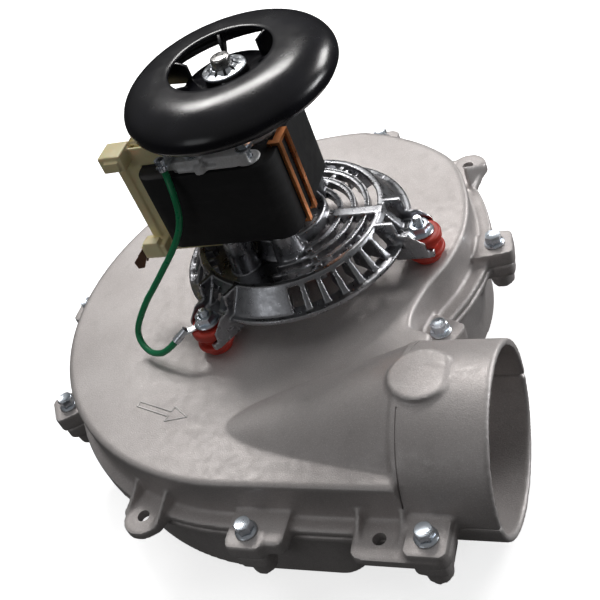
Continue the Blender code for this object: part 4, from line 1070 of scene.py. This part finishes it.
def upper_bracket():
    """Bearing bridge: a ring on bars and feet, with a tab for the wire and a notch over the near foot."""
    foot = STACK_Z[1] + GAP
    profile = ((8.6, 141.0), (14.5, 141.0), (14.5, 146.4), (13.0, 148.0), (8.6, 148.0))
    ring = turned("bearing_bridge", profile, 72)
    join(ring, block("left_bar", (-21.0, -13.0), (-25.0, 25.0), (foot + 1.6, BRIDGE_TOP)),
         block("near_bar", (-6.0, 4.2), (-26.0, -12.0), (foot + 0.9, 143.4)),
         block("far_bar", (2.0, 10.0), (12.0, 25.0), (foot + 1.6, BRIDGE_TOP)),
         block("tie", (-16.0, -12.0), (-6.0, 6.0), (foot + 2.0, BRIDGE_TOP)),
         block("tab", (-31.0, -20.0), (-25.5, -17.4), (foot + 1.9, BRIDGE_TOP)),
         block("strip", (-29.0, 8.0), (-23.4, -19.4), (foot + 0.6, 141.6)),
         block("edge", (-24.0, 3.0), (-26.2, -22.8), (foot + 0.5, 139.4)),
         *[rods("foot", [at], (foot, BRIDGE_TOP), 4.6, 32, 5.2) for at in BOLTS],
         rods("lobe", [(-13.5, -25.6)], (foot + 0.1, 141.0), 2.3, 32, 2.8),
         rods("lobe", [(-25.0, -23.0)], (foot + 0.1, 141.0), 1.7, 32, 2.1))
    notch = ((9.5, -26.9), (4.0, -17.4), (8.2, -11.9), (18.0, -11.9), (18.0, -27.5))
    cut(ring, flat("notch", notch, (foot + 1.0, 145.0)))
    soften(ring, 0.45, 2, 0.6)
    cut(ring, rods("bolt_holes", BOLTS, (130.0, 150.0), BOLT_HOLE_R, 24))
    finish_piece(ring, "end_casting", ["upper_bracket"], 50.0)


def stack_bolts():
    z = BOLT_SEAT_Z
    profile = raised([(0.0, 1.0), (3.2, 0.9), (3.9, 0.4), (3.9, 0.0), (1.9, 0.0)], z)
    profile += [(1.9, 91.2), (1.3, 90.5), (0.0, 90.5)]
    for number, at in enumerate(BOLTS, 1):
        bolt = turned(f"stack_screw_{number}", profile, 40, at)
        join(bolt, hexagon("stack_hex", at, (z + 0.4, z + 3.0), 3.2, 20.0 * number, 0.35))
        finish_piece(bolt, "zinc", [f"stack_bolt_{number}"], HEX_CREASE)


def flag_terminal():
    """Crimped flag terminal on the bearing bridge's tab."""
    x, y, z = WIRE_ROUTE[0]
    top = 143.0 + GAP
    barrel = [(0.0, 6.2), (1.5, 6.2), (2.1, 5.9), (2.1, 4.4), (1.7, 4.0), (1.7, 3.4), (2.1, 3.0), (2.1, 0.9),
              (1.9, 0.6), (0.0, 0.6)]
    flag = block("crimped_flag", (x - 2.5, x + 2.5), (y - 1.0, -18.0), (top, top + 0.8))
    join(flag, turned("barrel", raised(barrel, z), 48, (x, y)))
    for fold_x in (x - 0.95, x, x + 0.95):
        cut(flag, block("fold", (fold_x - 0.17, fold_x + 0.17), (y - 3.0, y - 1.35), (z, z + 7.0)))
    finish_piece(flag, "zinc", ["wire_terminal_top"], 35.0)


def ring_terminal():
    """Crimped ring terminal under the third mount's nut."""
    at = Vector(MOUNTS[2])
    end = Vector(WIRE_ROUTE[-1])
    away = (end.xy - at).normalized()
    z = (NUT_SEAT_Z + GAP, NUT_SEAT_Z + GAP + 0.8)
    neck = Vector((*(at + 10.0 * away), z[1] + 0.9))
    back = (neck - end).normalized()
    direction = math.degrees(math.atan2(away.y, away.x))
    strap = pad_outline(*at, direction, inward=-3.0, outward=11.0, half_width=1.6, corner=0.5)
    ring = rods("crimped_ring", [at], z, 4.6, 48)
    join(ring, flat("ring_neck", strap, z),
         cone_between("ring_barrel", end + back * GAP, neck, 1.75, 1.6, 40),
         cone_between("crimp", end + back * 1.6, end + back * 3.4, 1.95, 1.95, 40))
    cut(ring, rods("ring_hole", [at], (70.0, 80.0), 2.3))
    finish_piece(bevelled(ring, 0.12, 2, 40.0), "zinc", ["wire_terminal_ring"], 35.0)


stator_stack()
shading_coils()
flag_terminal()
ring_terminal()
coil_and_bobbin()
upper_bracket()
stack_bolts()


# ---- what turns
SHROUD_OUTSIDE = ((22.6, 172.0), (30.0, 171.7), (37.0, 170.1), (42.0, 167.1), (44.7, 163.2), (45.0, 159.6),
                  (43.7, 157.3))
SHROUD_INSIDE = ((42.6, 157.5), (43.5, 159.6), (43.2, 162.7), (40.8, 166.0), (36.4, 168.5), (30.0, 170.1),
                 (22.7, 170.4))
SHROUD_LIP = [(22.1, 170.7), (21.95, 171.2), (22.1, 171.7)]
DISC = ((19.5, 162.4), (19.4, 161.3), (9.4, 161.0), (9.0, 160.6), (9.0, 151.8), (8.7, 151.5), (4.3, 151.5),
        (4.3, 166.0), (8.3, 166.0), (8.6, 165.6), (9.2, 163.0), (10.0, 162.6), (19.2, 162.6))
BLADE = ((17.0, 161.6), (43.7, 161.4), (43.4, 164.0), (41.0, 166.8), (36.5, 169.3), (30.0, 170.9),
         (22.6, 171.2), (20.8, 170.8), (17.0, 169.4))
BLADE_COUNT = 6
FIRST_BLADE = 51.6
BLADE_SIDES = (-0.65, 0.65)
WASHER_Z = 166.3
WASHER = ((5.2, 2.3), (6.4, 1.3), (8.9, 1.0), (9.3, 0.7), (9.3, 0.1), (8.9, 0.0), (5.3, 0.0), (4.5, 1.9),
          (4.6, 2.3))
TEETH = 10
SHAFT = ((0.0, 172.5), (3.3, 172.48), (3.7, 172.3), (3.95, 171.9), (4.0, 171.4), (4.0, 8.8), (3.2, 8.0),
         (0.0, 8.0))


def cooling_fan():
    """Shroud, hub disc and blades, moulded in one."""
    shroud = spline_through(SHROUD_OUTSIDE, 5) + spline_through(SHROUD_INSIDE, 4) + SHROUD_LIP
    turns = [FIRST_BLADE + 360.0 / BLADE_COUNT * number for number in range(BLADE_COUNT)]
    blades = [bevelled(upright("blade", BLADE, BLADE_SIDES, turn), 0.25, 2, 40.0) for turn in turns]
    body = join(turned("fan_moulding", shroud, 144), turned("disc", DISC, 96), *blades)
    finish_piece(body, "fan_plastic", ["cooling_fan"], body="rotor")


def fan_retainer():
    """Toothed push washer over the hub."""
    body = turned("push_washer", raised(WASHER, WASHER_Z), 96)
    for number in range(TEETH):
        turn = 360.0 / TEETH * number + 8.0
        cut(body, block("tooth_gap", (3.0, 7.4), (-0.55, 0.55), (WASHER_Z - 1.0, WASHER_Z + 4.0), turn))
    finish_piece(bevelled(body, 0.12), "zinc", ["fan_retainer"], 35.0, "rotor")


cooling_fan()
fan_retainer()
finish_piece(turned("motor_shaft", SHAFT), "steel", ["shaft"], 35.0, "rotor")


# ---- backdrop
FLOOR_HALF = 3.0
DOME_RADIUS = 2.9


def backdrop(name, bm):
    """A pale surface behind the object, which the object neither reflects nor takes light from."""
    thing = from_bmesh(name, bm)
    thing.data.materials.append(FLOOR_FINISH)
    thing.data.shade_smooth()
    thing.visible_diffuse = False
    thing.visible_glossy = False
    return thing


floor_mesh = bmesh.new()
bmesh.ops.create_grid(floor_mesh, x_segments=1, y_segments=1, size=FLOOR_HALF)
backdrop("floor", floor_mesh)
dome_mesh = bmesh.new()
bmesh.ops.create_uvsphere(dome_mesh, u_segments=48, v_segments=24, radius=DOME_RADIUS)
backdrop("dome", dome_mesh).visible_shadow = False


# ---- CAD nodes that keep their shapes
for row in frame["record"]["subparts"]:
    dress(NODES[row["node"]], row["material_slot"], 35.0)
